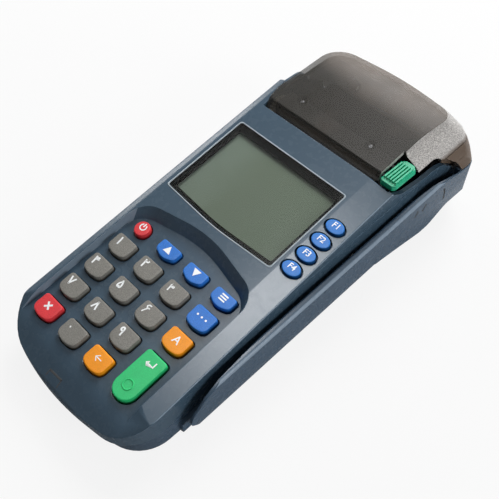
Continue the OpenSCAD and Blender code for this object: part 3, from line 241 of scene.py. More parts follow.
class Graph(Tree):
    """Node tree of one material around one principled shader."""

    def __init__(self, name: str) -> None:
        """Start a material with its shader, output and object coordinates.

        Args:
            name: Name of the material.
        """
        self.material = bpy.data.materials.new(name)
        self.material.use_nodes = True
        super().__init__(self.material.node_tree)
        self.shader = self.node("ShaderNodeBsdfPrincipled")
        self.surface = self.node("ShaderNodeOutputMaterial").inputs["Surface"]
        self.feed(self.surface, self.shader.outputs["BSDF"])
        self.place = self.result("ShaderNodeTexCoord", "Object")

    def shade(self, **inputs: object) -> None:
        """Feed the shader's inputs, named with underscores for spaces."""
        self.fill(self.shader, **inputs)

    def stretched(self, scale: Triple, turn: Triple = (0, 0, 0)) -> Socket:
        """Give object coordinates, scaled along and turned about each axis."""
        return self.result("ShaderNodeMapping", "Vector", Scale=scale, Rotation=turn, Vector=self.place)

    def noise(self, grain: float, detail: float = 2.0, place: Socket | None = None) -> Socket:
        """Add a noise from 0 to 1, with its grain in metres, at the object's coordinates or others."""
        return self.result("ShaderNodeTexNoise", "Fac", Scale=1 / grain, Detail=detail,
                           Vector=place or self.place)

    def cells(self, grain: float) -> Socket:
        """Give the distance from the nearest of many cells of one size in metres."""
        return self.result("ShaderNodeTexVoronoi", "Distance", Scale=1 / grain, Vector=self.place)

    def attribute(self, name: str) -> Socket:
        """Give a number that the mesh carries on its faces."""
        return self.wire("ShaderNodeAttribute", "Fac", attribute_name=name)

    def axis(self, name: str) -> Socket:
        """Give one coordinate of the object's place, in metres."""
        return self.result("ShaderNodeSeparateXYZ", name, Vector=self.place)

    def span(self, value: Socket, source: Ends, target: Ends = (0, 1)) -> Socket:
        """Map a value's range between two ends onto a target's, with the ends held."""
        return self.result("ShaderNodeMapRange", "Result", Value=value, From_Min=source[0],
                           From_Max=source[1], To_Min=target[0], To_Max=target[1])

    def mix(self, share: Socket, first: Socket | Rgba, second: Socket | Rgba) -> Socket:
        """Mix two colours.

        Args:
            share: Share of the second colour.
            first: Colour at a share of 0.
            second: Colour at a share of 1.

        Returns:
            The mixed colour.
        """
        made = self.node("ShaderNodeMix", data_type="RGBA")
        self.feed(made.inputs[0], share)
        for index, colour in zip(COLOUR_INPUTS, (first, second)):
            self.feed(made.inputs[index], colour)
        return made.outputs[COLOUR_OUTPUT]

    def rounded(self, radius: float) -> Socket:
        """Give normals that round the edges off, with a radius in metres."""
        return self.wire("ShaderNodeBevel", "Normal", radius, samples=EDGE_RAYS)

    def edge(self, soft: Socket, share: float) -> Socket:
        """Mark edges with up to a share, where rounded normals leave the flat ones.

        Args:
            soft: Rounded normals.
            share: What a full edge is marked with.

        Returns:
            The mark, which is 0 on flat faces.
        """
        flat = self.result("ShaderNodeNewGeometry", "Normal")
        turn = self.wire("ShaderNodeVectorMath", "Value", soft, flat, operation="DOT_PRODUCT")
        return self.span(turn, EDGE_TURN, (0, share))

    def bump(self, height: Socket, depth: float, normal: Socket | None = None,
             strength: float = 0.4) -> None:
        """Add a bump to the shader.

        Args:
            height: Height from 0 to 1.
            depth: What a height of 1 stands for, in metres.
            normal: Normals to start from.
            strength: Strength of the bump.
        """
        made = self.node("ShaderNodeBump")
        self.fill(made, Strength=strength, Distance=depth, Height=height)
        if normal is not None:
            self.fill(made, Normal=normal)
        self.shade(Normal=made.outputs["Normal"])


@dataclass(frozen=True)
class Pattern:
    """A noise with a grain in metres, whose range between two ends is mapped onto a target."""

    grain: float
    ends: Ends = NOISE_ENDS
    target: Ends = (0, 1)
    detail: float = 2.0

    def lay(self, graph: Graph, place: Socket | None = None) -> Socket:
        """Add the pattern to a node tree, at the object's own coordinates or at others."""
        return graph.span(graph.noise(self.grain, self.detail, place), self.ends, self.target)


class Finish(ABC):
    """A finish that can be made into a material, with its sizes in metres."""

    def make(self, name: str) -> Material:
        """Make the material.

        Args:
            name: Name of the material.

        Returns:
            The material.
        """
        graph = Graph(name)
        self.paint(graph)
        return graph.material

    @abstractmethod
    def paint(self, graph: Graph) -> None:
        """Feed the shader of a material's node tree."""


@dataclass(frozen=True)
class MouldedPlastic(Finish):
    """Spark-textured moulded plastic, its rounded edges lightened by wear and a painted highlight, with a
    painted highlight on marked faces.
    """

    colour: Colour
    rough: float = 0.5
    uneven: Pattern = Pattern(3 * MM, target=(-0.015, 0.015), detail=3)
    gloss: float = 0.22
    mottle: float = 0.03
    mottling: Pattern = Pattern(22 * MM, (0.35, 0.65))
    speck: float = 1.28
    specks: Pattern = Pattern(0.28 * MM, (0.35, 0.7), (0, 0.35))
    grain: float = 0.28 * MM
    depth: float = 0.03 * MM
    edge: float = 0.45 * MM
    # Edges are lightened partly by wear and partly by a painted highlight
    edge_wear_and_highlight: float = 0.55
    edge_wear_and_highlight_gain: float = 2.2
    # Painted highlight on the faces that the mesh marks, and its colour
    painted_highlight: float = 0.75
    highlight_colour: Colour = Colour(150, 166, 182)

    def paint(self, graph: Graph) -> None:
        """Feed the shader.

        Args:
            graph: Node tree of the material.
        """
        soft = graph.rounded(self.edge)
        dark, pale = self.colour.linear(1 - self.mottle), self.colour.linear(1 + self.mottle)
        shade = graph.mix(self.mottling.lay(graph), dark, pale)
        shade = graph.mix(self.specks.lay(graph), shade, self.colour.linear(self.speck))
        # Edges lightened by wear and by a painted highlight
        shade = graph.mix(graph.edge(soft, self.edge_wear_and_highlight), shade, self.colour.linear(self.edge_wear_and_highlight_gain))
        rough = graph.join("ADD", self.uneven.lay(graph), self.rough)
        graph.shade(Base_Color=self.paint_light_and_shade(graph, shade), Roughness=rough, Specular_IOR_Level=self.gloss)
        graph.bump(graph.noise(self.grain), self.depth, soft)

    def paint_light_and_shade(self, graph: Graph, shade: Socket) -> Socket:
        """Paint the highlight on the marked faces into a node tree's colour."""
        painted_highlight = graph.join("MULTIPLY", graph.attribute(PAINTED_HIGHLIGHT), self.painted_highlight)
        return graph.mix(painted_highlight, shade, self.highlight_colour.linear())


@dataclass(frozen=True)
class Plane:
    """The sloping face that a row of keys stands on, with its height at the object's middle in metres."""

    height: float
    slope: float

    def level(self, along: float) -> float:
        """Give the face's height at a place along the object, in metres."""
        return self.height + along * self.slope

    def above(self, graph: Graph) -> Socket:
        """Measure in a node tree how far a point lies above the face, in metres."""
        rise = graph.join("MULTIPLY", graph.axis("Y"), self.slope)
        return graph.join("SUBTRACT", graph.join("SUBTRACT", graph.axis("Z"), rise), self.height)


BASIN_FLOOR = Plane(33.5 * MM, math.tan(KEYPAD_SLOPE))
DECK = Plane(38.5 * MM, math.tan(DECK_SLOPE))


@dataclass(frozen=True)
class KeyPlastic(MouldedPlastic):
    """Speckled key plastic with painted shade that darkens it towards its foot."""

    rough: float = 0.42
    uneven: Pattern = Pattern(1.5 * MM, target=(-0.08, 0.08))
    gloss: float = 0.12
    mottle: float = 0.22
    mottling: Pattern = Pattern(0.35 * MM, (0.36, 0.64))
    speck: float = 0.82
    specks: Pattern = Pattern(4 * MM, (0.4, 0.75), (0, 0.3))
    grain: float = 0.35 * MM
    depth: float = 0.02 * MM
    edge: float = 0.3 * MM
    # The keys' edges lightened by wear and by a painted highlight
    edge_wear_and_highlight: float = 0.3
    edge_wear_and_highlight_gain: float = 1.7
    # Painted shade towards the face that the key stands on
    stand: Plane = BASIN_FLOOR
    foot: Ends = (0.3 * MM, 1.2 * MM)
    foot_painted_shade_share: float = 0.85
    foot_painted_shade_tone: float = 0.15

    def paint_light_and_shade(self, graph: Graph, shade: Socket) -> Socket:
        """Paint shade at the foot into a node tree's colour."""
        foot = graph.span(self.stand.above(graph), self.foot, (self.foot_painted_shade_share, 0))
        return graph.mix(foot, shade, self.colour.linear(self.foot_painted_shade_tone))


@dataclass(frozen=True)
class SmokedPlastic(Finish):
    """Smoked see-through plastic, browner to the rear; the faces that turn to the right are frosted and take
    a painted highlight, with a painted shade line along the crease at their foot.
    """

    colour: Colour
    rear: Colour
    frost_and_highlight: Colour
    cover: Ends = (0.56, 0.96)
    fade: Ends = (70 * MM, 100 * MM)
    rear_cover: float = 0.6
    haze: Pattern = Pattern(16 * MM, (0.35, 0.7), (-0.15, 0.15))
    # Faces that turn to the right: frosted with a painted highlight, and a painted shade line at their foot
    slant: Ends = (0.12, 0.3)
    flank_foot: Ends = (41 * MM, 43 * MM)
    crease: float = 0.4 * MM
    crease_shade_share: float = 0.8
    crease_painted_shade: float = 0.3
    grain: float = 0.45 * MM
    grain_ends: Ends = (0.38, 0.66)
    sparkle: Ends = (0.55, 1.4)
    depth: float = 0.06 * MM
    relief: float = 0.5
    edge: float = 0.5 * MM
    rough: Pattern = Pattern(5 * MM, target=(0.3, 0.36), detail=3)
    gloss: float = 0.18

    def paint(self, graph: Graph) -> None:
        """Feed the shader.

        Args:
            graph: Node tree of the material.
        """
        grain = graph.noise(self.grain)
        height = graph.axis("Z")
        flank = graph.span(graph.attribute(SLANT), self.slant)
        # Frosting with a painted highlight on the right-turning faces, which also take the rear's paler
        # colour
        frosted_and_lit = graph.join("MULTIPLY", flank, graph.span(height, self.flank_foot))
        back = graph.join("ADD", graph.span(graph.axis("Y"), self.fade), self.haze.lay(graph))
        back = graph.join("MAXIMUM", back, flank)
        shade = graph.mix(back, self.colour.linear(), self.rear.linear())
        dull, bright = (self.frost_and_highlight.linear(gain) for gain in self.sparkle)
        shade = graph.mix(frosted_and_lit, shade, graph.mix(graph.span(grain, self.grain_ends), dull, bright))
        # Painted shade line along the crease at the foot of the right-turning faces
        away = graph.join("ABSOLUTE", graph.join("SUBTRACT", height, self.flank_foot[0]))
        crease_shade_line = graph.join("MULTIPLY", graph.span(away, (0, self.crease), (self.crease_shade_share, 0)), flank)
        shade = graph.mix(crease_shade_line, shade, self.colour.linear(self.crease_painted_shade))
        dense = graph.join("MAXIMUM", frosted_and_lit, graph.join("MULTIPLY", back, self.rear_cover))
        graph.shade(Base_Color=shade, Alpha=graph.span(dense, (0, 1), self.cover),
                    Roughness=self.rough.lay(graph), Specular_IOR_Level=self.gloss)
        relief = graph.join("MULTIPLY", grain, frosted_and_lit)
        graph.bump(relief, self.depth, graph.rounded(self.edge), self.relief)


@dataclass(frozen=True)
class ClearWindow(Finish):
    """Clear glossy window with a few smears, which lamps shine straight through."""

    tint: Rgba = (0.93, 0.95, 0.94, 1)
    light: Rgba = (0.88, 0.9, 0.89, 1)
    bend: float = 1.2
    smear: Pattern = Pattern(6 * MM, (0.45, 0.75), (0.05, 0.08), detail=4)
    smear_scale: Triple = (1, 0.4, 1)
    smear_turn: Triple = (0, 0, 0.6)
    wave: float = 20 * MM
    depth: float = 0.02 * MM
    relief: float = 0.2

    def paint(self, graph: Graph) -> None:
        """Feed the shader.

        Args:
            graph: Node tree of the material.
        """
        rough = self.smear.lay(graph, graph.stretched(self.smear_scale, self.smear_turn))
        graph.shade(Base_Color=self.tint, Transmission_Weight=1.0, IOR=self.bend, Roughness=rough)
        graph.bump(graph.noise(self.wave), self.depth, strength=self.relief)
        clear = graph.result("ShaderNodeBsdfTransparent", "BSDF", Color=self.light)
        lamps = graph.rays(Ray.SHADOW, Ray.DIFFUSE)
        graph.feed(graph.surface, graph.blend(lamps, graph.shader.outputs["BSDF"], clear))


@dataclass(frozen=True)
class DustyPanel(Finish):
    """Dark or grey sheet under the window, with dust on it and a painted reflection that changes its shade
    from left to right.
    """

    colour: Colour
    far: Colour
    dust: Colour
    patch: Pattern
    # Where the painted reflection runs from the first colour to the far one, across the panel
    across: Ends
    cloud: float = 18 * MM
    cloud_share: float = 0.5
    cloud_rise: float = 0.25
    speck: float = 0.9 * MM
    speck_reach: float = 0.2
    fine: Pattern = Pattern(0.25 * MM, (0.62, 0.75), (0, 0.6))
    rough: Pattern = Pattern(2 * MM, target=(0.45, 0.55))
    gloss: float = 0.02
    wave: float = 9 * MM
    depth: float = 0.01 * MM
    relief: float = 0.2

    def paint(self, graph: Graph) -> None:
        """Feed the shader.

        Args:
            graph: Node tree of the material.
        """
        cloud = graph.join("MULTIPLY", graph.noise(self.cloud, detail=3), self.cloud_share)
        # Painted reflection from side to side, with random clouds
        painted_reflection = graph.span(graph.axis("X"), self.across)
        share = graph.join("ADD", graph.join("ADD", cloud, self.cloud_rise), painted_reflection)
        shade = graph.mix(share, self.colour.linear(), self.far.linear())
        specks = graph.span(graph.cells(self.speck), (0, self.speck_reach), (1, 0))
        dust = graph.join("MAXIMUM", specks, self.fine.lay(graph))
        dust = graph.join("MULTIPLY", dust, self.patch.lay(graph))
        graph.shade(Base_Color=graph.mix(dust, shade, self.dust.linear()), Roughness=self.rough.lay(graph),
                    Specular_IOR_Level=self.gloss)
        graph.bump(graph.noise(self.wave), self.depth, strength=self.relief)


@dataclass(frozen=True)
class Grained(Finish):
    """Patchy solid with a fine grain, as it stands a matt rubber with dust in its pores."""

    colour: Colour
    rough: Ends
    patch: float = 1.35
    patches: Pattern = Pattern(4 * MM, (0.4, 0.7), detail=3)
    grain: float = 0.3 * MM
    drawn: Triple = (1.0, 1.0, 1.0)
    depth: float = 0.03 * MM
    edge: float = 0.2 * MM
    metal: float = 0.0

    def paint(self, graph: Graph) -> None:
        """Feed the shader.

        Args:
            graph: Node tree of the material.
        """
        grain = graph.noise(self.grain, 3, graph.stretched(self.drawn))
        shade = graph.mix(self.patches.lay(graph), self.colour.linear(), self.colour.linear(self.patch))
        rough = graph.span(grain, NOISE_ENDS, self.rough)
        graph.shade(Base_Color=shade, Roughness=rough, Metallic=self.metal)
        graph.bump(grain, self.depth, graph.rounded(self.edge))


@dataclass(frozen=True)
class BrushedMetal(Grained):
    """Stained metal with a drawn grain."""

    rough: Ends = (0.24, 0.44)
    patch: float = 0.7
    patches: Pattern = Pattern(5 * MM, (0.4, 0.7), (0, 0.6), detail=3)
    grain: float = 0.15 * MM
    drawn: Triple = (0.05, 1.0, 1.0)
    depth: float = 0.01 * MM
    edge: float = 0.12 * MM
    metal: float = 1.0


@dataclass(frozen=True)
class CircuitBoard(Finish):
    """Lacquered board with copper tracks showing through."""

    colour: Colour
    track: float = 2.2 * MM
    track_share: float = 0.03
    track_shade: float = 1.7
    depth: float = 0.03 * MM
    pad: float = 3.1 * MM
    pad_ends: Ends = (0.1, 0.13)
    copper: Colour = Colour(200, 170, 90)
    rough: Pattern = Pattern(2 * MM, target=(0.3, 0.42))

    def paint(self, graph: Graph) -> None:
        """Feed the shader.

        Args:
            graph: Node tree of the material.
        """
        tracks = graph.result("ShaderNodeTexBrick", "Fac", Scale=1 / self.track,
                              Mortar_Size=self.track_share, Vector=graph.place)
        shade = graph.mix(tracks, self.colour.linear(), self.colour.linear(self.track_shade))
        pads = graph.span(graph.cells(self.pad), self.pad_ends, (1, 0))
        graph.shade(Base_Color=graph.mix(pads, shade, self.copper.linear()), Roughness=self.rough.lay(graph))
        graph.bump(tracks, self.depth)


@dataclass(frozen=True)
class PrintedInk(Finish):
    """Printed ink, thin in places so that the key shows through."""

    colour: Colour
    under: Colour
    thin: Pattern = Pattern(0.5 * MM, (0.58, 0.78), (0, 0.55), detail=3)
    rough: Pattern = Pattern(0.8 * MM, target=(0.4, 0.55))

    def paint(self, graph: Graph) -> None:
        """Feed the shader of a material's node tree."""
        shade = graph.mix(self.thin.lay(graph), self.colour.linear(), self.under.linear())
        graph.shade(Base_Color=shade, Roughness=self.rough.lay(graph))


FINISHES: dict[str, Finish] = {
    "shell_plastic": MouldedPlastic(Colour(62, 82, 98), rough=0.27, depth=0.012 * MM, gloss=0.15),
    "base_plastic": MouldedPlastic(Colour(62, 81, 99), rough=0.27, depth=0.012 * MM, gloss=0.15),
    "smoked_plastic": SmokedPlastic(Colour(52, 49, 43), Colour(104, 88, 74), Colour(186, 183, 180)),
    "latch_green": MouldedPlastic(Colour(30, 164, 122), rough=0.4, mottle=0.06, edge_wear_and_highlight=0.4),
    "key_red": KeyPlastic(Colour(228, 62, 68), mottle=0.12),
    "key_blue": KeyPlastic(Colour(48, 122, 212), mottle=0.12),
    "key_orange": KeyPlastic(Colour(255, 158, 26), mottle=0.08),
    "key_green": KeyPlastic(Colour(48, 204, 122), mottle=0.08),
    "key_grey": KeyPlastic(Colour(130, 128, 122)),
    # The function keys' painted shade keeps close to their foot
    "key_sky": KeyPlastic(Colour(46, 126, 212), mottle=0.12, stand=DECK, foot=(0, 0.35 * MM)),
    "lens_clear": ClearWindow(),
    "mask_black": DustyPanel(Colour(13, 14, 14), Colour(17, 17, 16), Colour(92, 94, 90),
                             Pattern(7 * MM, (0.62, 0.72), detail=3), across=(-30 * MM, 20 * MM)),
    "lcd_grey": DustyPanel(Colour(144, 156, 146), Colour(116, 126, 111), Colour(186, 194, 178),
                           Pattern(7 * MM, (0.605, 0.72), detail=3), across=(-34 * MM, 10 * MM)),
    "bracket_white": MouldedPlastic(Colour(214, 214, 208), mottle=0.04),
    "steel": BrushedMetal(Colour(190, 194, 198)),
    "black_plastic": MouldedPlastic(Colour(40, 41, 43), rough=0.45, edge_wear_and_highlight=0.3),
    "cream_plastic": MouldedPlastic(Colour(216, 208, 186), rough=0.45, mottle=0.05),
    "platen_rubber": Grained(Colour(150, 138, 116), rough=(0.52, 0.7)),
    "gear_nylon": MouldedPlastic(Colour(226, 222, 208), rough=0.4, mottle=0.05),
    "brass": BrushedMetal(Colour(214, 178, 96), rough=(0.2, 0.4)),
    "head_ceramic": MouldedPlastic(Colour(58, 60, 64), rough=0.3, grain=0.15 * MM, depth=0.005 * MM,
                                   specks=Pattern(0.15 * MM, (0.35, 0.7), (0, 0.35))),
    "silicone": Grained(Colour(196, 198, 196), rough=(0.52, 0.7)),
    "board_green": CircuitBoard(Colour(26, 92, 60)),
    "foot_rubber": Grained(Colour(38, 38, 40), rough=(0.72, 0.9)),
    "ink": PrintedInk(Colour(244, 246, 246), Colour(200, 204, 206)),
    # Dark paint standing in for the shade in engraved marks and screw recesses
    "painted_groove_shade": Grained(Colour(11, 13, 16), rough=(0.62, 0.8)),
    # Pale bead that paints the highlight along the window's edge
    "rim": MouldedPlastic(Colour(150, 162, 170), rough=0.35, mottle=0.05),
}


@cache
def material(finish: str) -> Material:
    """Give a finish's material, made at the first call."""
    return FINISHES[finish].make(finish + "_finish")


class Shading(Enum):
    """How a piece's faces meet, as the angle past which an edge is sharp."""

    ROUND = math.radians(38)
    CRISP = math.radians(24)


class Bench:
    """Makes pieces and hangs them on the frame's bodies."""

    @staticmethod
    def piece(name: str, shape: Shape, body: str, finish: str, shading: Shading = Shading.ROUND) -> Piece:
        """Turn a bmesh into a piece of the scene.

        Args:
            name: Name of the piece.
            shape: The bmesh, in place, which is freed.
            body: Body that it rides on.
            finish: Name of its finish.
            shading: How its faces meet.

        Returns:
            The piece.
        """
        mesh = bpy.data.meshes.new(name)
        shape.to_mesh(mesh)
        shape.free()
        if IMPORTED_NORMALS in mesh.attributes:
            mesh.attributes.remove(mesh.attributes[IMPORTED_NORMALS])
        mesh.materials.append(material(finish))
        mesh.shade_smooth()
        mesh.set_sharp_from_angle(angle=shading.value)
        made = bpy.data.objects.new(name, mesh)
        bpy.context.scene.collection.objects.link(made)
        level = made.modifiers.new("even_normals", "WEIGHTED_NORMAL")
        level.keep_sharp = True
        level.weight = NORMAL_WEIGHT
        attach(made, body)
        LOG.info("piece %s on %s", name, body)
        return made

    @classmethod
    def skin(cls, node: str, slot: str, shading: Shading = Shading.ROUND, trim: float = 1.0) -> Piece:
        """Stand a merged, smoothly shaded copy of a node in its place.

        Args:
            node: Name of the construction node.
            slot: The record's material slot.
            shading: How its faces meet.
            trim: Factor on its plan, to open the gap round it.

        Returns:
            The copy.
        """
        source = frame["nodes"][node]
        shape = bmesh.new()
        shape.from_mesh(source.data)
        bmesh.ops.remove_doubles(shape, verts=shape.verts, dist=WELD)
        bmesh.ops.dissolve_limit(shape, angle_limit=FLAT, verts=shape.verts, edges=shape.edges)
        low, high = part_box(node)
        middle = Matrix.Translation(-(low + high) / 2)
        bmesh.ops.scale(shape, vec=(trim, trim, 1), space=middle, verts=shape.verts)
        made = cls.piece(node + "_skin", shape, source["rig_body"], slot, shading)
        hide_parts(node)
        return made

    @staticmethod
    def thicken(sheet: Piece, depth: float) -> None:
        """Give a sheet some depth under its face.

        Args:
            sheet: The sheet.
            depth: The depth in millimetres.
        """
        thick = sheet.modifiers.new("depth", "SOLIDIFY")
        thick.thickness = depth * MM
        thick.offset = -1


class Surface:
    """Finds points on a piece's outer skin."""

    def __init__(self, piece: Piece) -> None:
        """Read the piece's faces.

        Args:
            piece: The piece.
        """
        shape = bmesh.new()
        shape.from_mesh(piece.data)
        self.tree = BVHTree.FromBMesh(shape)
        shape.free()

    def hit(self, point: Vector, along: Vector) -> Vector:
        """Follow a line from a point to the skin, or give the nearest point where it misses."""
        found = self.tree.ray_cast(point, along)[0]
        return self.tree.find_nearest(point)[0] if found is None else found

    def settle(self, shape: Shape, outward: Vector, proud: float) -> None:
        """Drop a hovering shape onto the skin and leave it proud by some millimetres."""
        for vert in shape.verts:
            vert.co = self.hit(vert.co, -outward) + outward * proud * MM


def corners(verts: Iterable[bmesh.types.BMVert]) -> tuple[Vector, Vector]:
    """Give the lowest and the highest corner of some points."""
    axes = list(zip(*(vert.co for vert in verts)))
    return Vector([min(axis) for axis in axes]), Vector([max(axis) for axis in axes])


def key_stand(key: str, slope: float, shift: Ends) -> Matrix:
    """Stand a sign's own plane on the middle of a key's top.

    Args:
        key: Node of the key.
        slope: Slope of the plane.
        shift: Shift along the plane, to the right and to the rear, in millimetres.

    Returns:
        Turn and place of the plane.
    """
    low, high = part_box(key)
    middle = (low + high) / 2
    top = Matrix.Translation((middle.x, middle.y, high.z))
    aside = Matrix.Translation((shift[0] * MM, shift[1] * MM, 0))
    return top @ Matrix.Rotation(slope, 4, "X") @ aside


@dataclass(frozen=True)
class Legend:
    """A printed sign on a key, in millimetres, with bold and outline in the font's units."""

    key: str
    text: str
    height: float
    shift: Ends = (0.0, 0.0)
    bold: float = 0.0
    slope: float = KEYPAD_SLOPE
    outline: float = 0.0
    turn: float = 0.0

    def letters(self) -> Shape:
        """Draw the sign flat in the font's units.

        Returns:
            Its upper faces, cut fine enough to follow a domed key.
        """
        curve = bpy.data.curves.new(self.key + "_text", "FONT")
        curve.body = self.text
        curve.offset = self.bold
        curve.bevel_depth = self.outline
        curve.bevel_resolution = 0
        curve.resolution_u = LETTER_STEPS
        text = bpy.data.objects.new(self.key + "_text", curve)
        bpy.context.scene.collection.objects.link(text)
        bpy.context.view_layer.update()
        graph = bpy.context.evaluated_depsgraph_get()
        mesh = bpy.data.meshes.new_from_object(text.evaluated_get(graph))
        bpy.data.objects.remove(text)
        shape = bmesh.new()
        shape.from_mesh(mesh)
        bpy.data.meshes.remove(mesh)
        lower = [face for face in shape.faces if face.normal.z < LETTER_UP]
        bmesh.ops.delete(shape, geom=lower, context="FACES")
        bmesh.ops.remove_doubles(shape, verts=shape.verts, dist=LETTER_WELD)
        bmesh.ops.triangulate(shape, faces=shape.faces)
        bmesh.ops.subdivide_edges(shape, edges=shape.edges, cuts=LETTER_CUTS, use_grid_fill=True)
        return shape

    def build(self, cap: Piece) -> None:
        """Lay the sign on its key.

        Args:
            cap: The key.
        """
        shape = self.letters()
        low, high = corners(shape.verts)
        middle = (low + high) / 2
        centre = Matrix.Translation((-middle.x, -middle.y, 0))
        size = Matrix.Scale(self.height * MM / (high.y - low.y), 4)
        stand = key_stand(self.key, self.slope, self.shift)
        place = stand @ Matrix.Translation(UP * HOVER) @ Matrix.Rotation(self.turn, 4, "Z")
        bmesh.ops.transform(shape, matrix=place @ size @ centre, verts=shape.verts)
        Surface(cap).settle(shape, stand.to_3x3() @ UP, INK_PROUD)
        body = frame["nodes"][self.key]["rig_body"]
        made = Bench.piece(self.key + "_sign", shape, body, "ink")
        made.data.shade_flat()
        Bench.thicken(made, INK_DEPTH)


@dataclass(frozen=True)
class Strokes:
    """Straight strokes of a sign, laid on a piece's skin, with sizes in millimetres."""

    name: str
    body: str
    marks: tuple[Stroke, ...]
    width: float
    proud: float = 0.012
    depth: float = 0.2

    def lay(self, carrier: Piece, stand: Matrix, finish: str) -> None:
        """Lay the strokes down.

        Args:
            carrier: The piece that carries the sign.
            stand: Turn and place of the sign's own plane.
            finish: Name of the strokes' finish.
        """
        shape = bmesh.new()
        for start, end in self.marks:
            along = Vector(end) - Vector(start)
            middle = (Vector(start) + Vector(end)) / 2 * MM
            size = Matrix.Diagonal(((along.length + self.width / 2) * MM, self.width * MM, 1, 1))
            turn = Matrix.Rotation(math.atan2(along.y, along.x), 4, "Z")
            place = stand @ Matrix.Translation((middle.x, middle.y, FAR)) @ turn @ size
            bmesh.ops.create_grid(shape, x_segments=STROKE_STEPS, y_segments=1, size=0.5, matrix=place)
        Surface(carrier).settle(shape, (stand.to_3x3() @ UP).normalized(), self.proud)
        made = Bench.piece(self.name, shape, self.body, finish)
        made.data.shade_flat()
        Bench.thicken(made, self.depth)


@dataclass(frozen=True)
class Lamp:
    """A square soft lamp that faces the object, in metres and watts, and lights or only gleams."""

    name: str
    at: Triple
    size: float
    power: float
    lights: bool = True

    def hang(self) -> None:
        """Hang the lamp in the scene."""
        data = bpy.data.lights.new(self.name, "AREA")
        data.size = self.size
        data.energy = self.power
        made = bpy.data.objects.new(self.name, data)
        made.location = self.at
        made.rotation_euler = (-Vector(self.at)).to_track_quat("-Z", "Y").to_euler()
        made.visible_diffuse = self.lights
        bpy.context.scene.collection.objects.link(made)


@dataclass
class Studio:
    """Floor, light, background and camera, with angles in degrees.

    The camera's lens, sensor and eye are in millimetres, and the other lengths in metres.
    """

    lens: float = 51.91
    sensor: float = 36.0
    near: float = 0.01
    azimuth: float = 45.93
    elevation: float = 52.49
    eye: Triple = (138.8, -136.3, 264.9)
    dome: float = 0.11
    dome_tint: Rgba = (0.97, 0.98, 1.0, 1.0)
    floor_size: float = 6.0
    floor_glow: float = 0.86
    floor_grey: Rgba = (0.7, 0.7, 0.7, 1.0)
    floor_rough: float = 0.9
    floor_gloss: float = 0.1
    lamps: tuple[Lamp, ...] = (
        Lamp("rear", (-0.25, 0.72, 0.65), size=0.5, power=9.0),
        Lamp("overhead", (-0.16, 0.06, 0.98), size=0.3, power=14.0, lights=False),
        Lamp("top", (-0.1, 0.3, 0.95), size=0.5, power=0.9),
        Lamp("right_side", (0.86, 0.15, 0.46), size=0.34, power=4.2),
        Lamp("left_side", (-0.92, 0.25, 0.3), size=0.34, power=3.4),
        Lamp("under", (0.3, -0.3, -0.9), size=0.8, power=3.0),
    )

    def build(self) -> None:
        """Build the whole studio."""
        self.camera()
        self.world()
        self.floor()
        for lamp in self.lamps:
            lamp.hang()
        bpy.context.scene.view_settings.view_transform = "Standard"

    def camera(self) -> None:
        """Stand the camera where the photograph was taken."""
        data = bpy.data.cameras.new("photo_camera")
        data.lens = self.lens
        data.sensor_width = self.sensor
        data.clip_start = self.near
        made = bpy.data.objects.new("photo_camera", data)
        made.location = Vector(self.eye) * MM
        made.rotation_euler = (math.radians(90 - self.elevation), 0, math.radians(self.azimuth))
        bpy.context.scene.collection.objects.link(made)
        bpy.context.scene.camera = made

    def world(self) -> None:
        """Give soft light all round, and white to the camera, to gloss and through glass."""
        world = bpy.data.worlds.new("soft_studio")
        bpy.context.scene.world = world
        world.use_nodes = True
        tree = Tree(world.node_tree)
        soft = tree.result("ShaderNodeBackground", "Background", Color=self.dome_tint, Strength=self.dome)
        white = tree.result("ShaderNodeBackground", "Background", Color=WHITE)
        seen = tree.rays(Ray.CAMERA, Ray.GLOSSY, Ray.TRANSMISSION)
        tree.fill(tree.node("ShaderNodeOutputWorld"), Surface=tree.blend(seen, soft, white))

    def floor(self) -> None:
        """Lay a pale floor that keeps a faint shadow and is clear from below."""
        shape = bmesh.new()
        bmesh.ops.create_grid(shape, x_segments=1, y_segments=1, size=self.floor_size / 2)
        mesh = bpy.data.meshes.new("floor")
        shape.to_mesh(mesh)
        shape.free()
        made = bpy.data.objects.new("floor", mesh)
        bpy.context.scene.collection.objects.link(made)
        graph = Graph("floor_paint")
        graph.shade(Base_Color=self.floor_grey, Roughness=self.floor_rough,
                    Specular_IOR_Level=self.floor_gloss)
        seen = graph.join("MULTIPLY", graph.rays(Ray.CAMERA, Ray.TRANSMISSION), self.floor_glow)
        glow = graph.result("ShaderNodeEmission", "Emission", Color=WHITE)
        pale = graph.blend(seen, graph.shader.outputs["BSDF"], glow)
        below = graph.result("ShaderNodeNewGeometry", "Backfacing")
        passed = graph.join("MAXIMUM", below, graph.rays(Ray.SHADOW))
        clear = graph.result("ShaderNodeBsdfTransparent", "BSDF")
        graph.feed(graph.surface, graph.blend(passed, pale, clear))
        mesh.materials.append(graph.material)


class Side(Enum):
    """Side of the case, as the turn that stands a flat sign up on it."""

    RIGHT = Matrix(((0, 0, 1, 0), (1, 0, 0, 0), (0, 1, 0, 0), (0, 0, 0, 1)))
    FRONT = Matrix(((1, 0, 0, 0), (0, 0, -1, 0), (0, 1, 0, 0), (0, 0, 0, 1)))


@dataclass(frozen=True)
class WindowFront:
    """Front end of the display's window, drawn out to where the photograph shows it, in millimetres."""

    left: float = -39.5
    right: float = 26.0
    rear: float = -8.5
    front: float = -15.5
    foot: float = 33.0
    reach: float = 2.5

    def stretch(self, piece: Piece, share: float = 1.0) -> None:
        """Move the points at the window's front end along the deck.

        Args:
            piece: A piece of the window.
            share: Share of the full reach.
        """
        forward = Vector((0, -1, -DECK.slope)) * self.reach * share * MM
        for vert in piece.data.vertices:
            x, y, z = vert.co / MM
            if self.left < x < self.right and self.front < y < self.rear and z > self.foot:
                vert.co += forward


WINDOW = WindowFront()


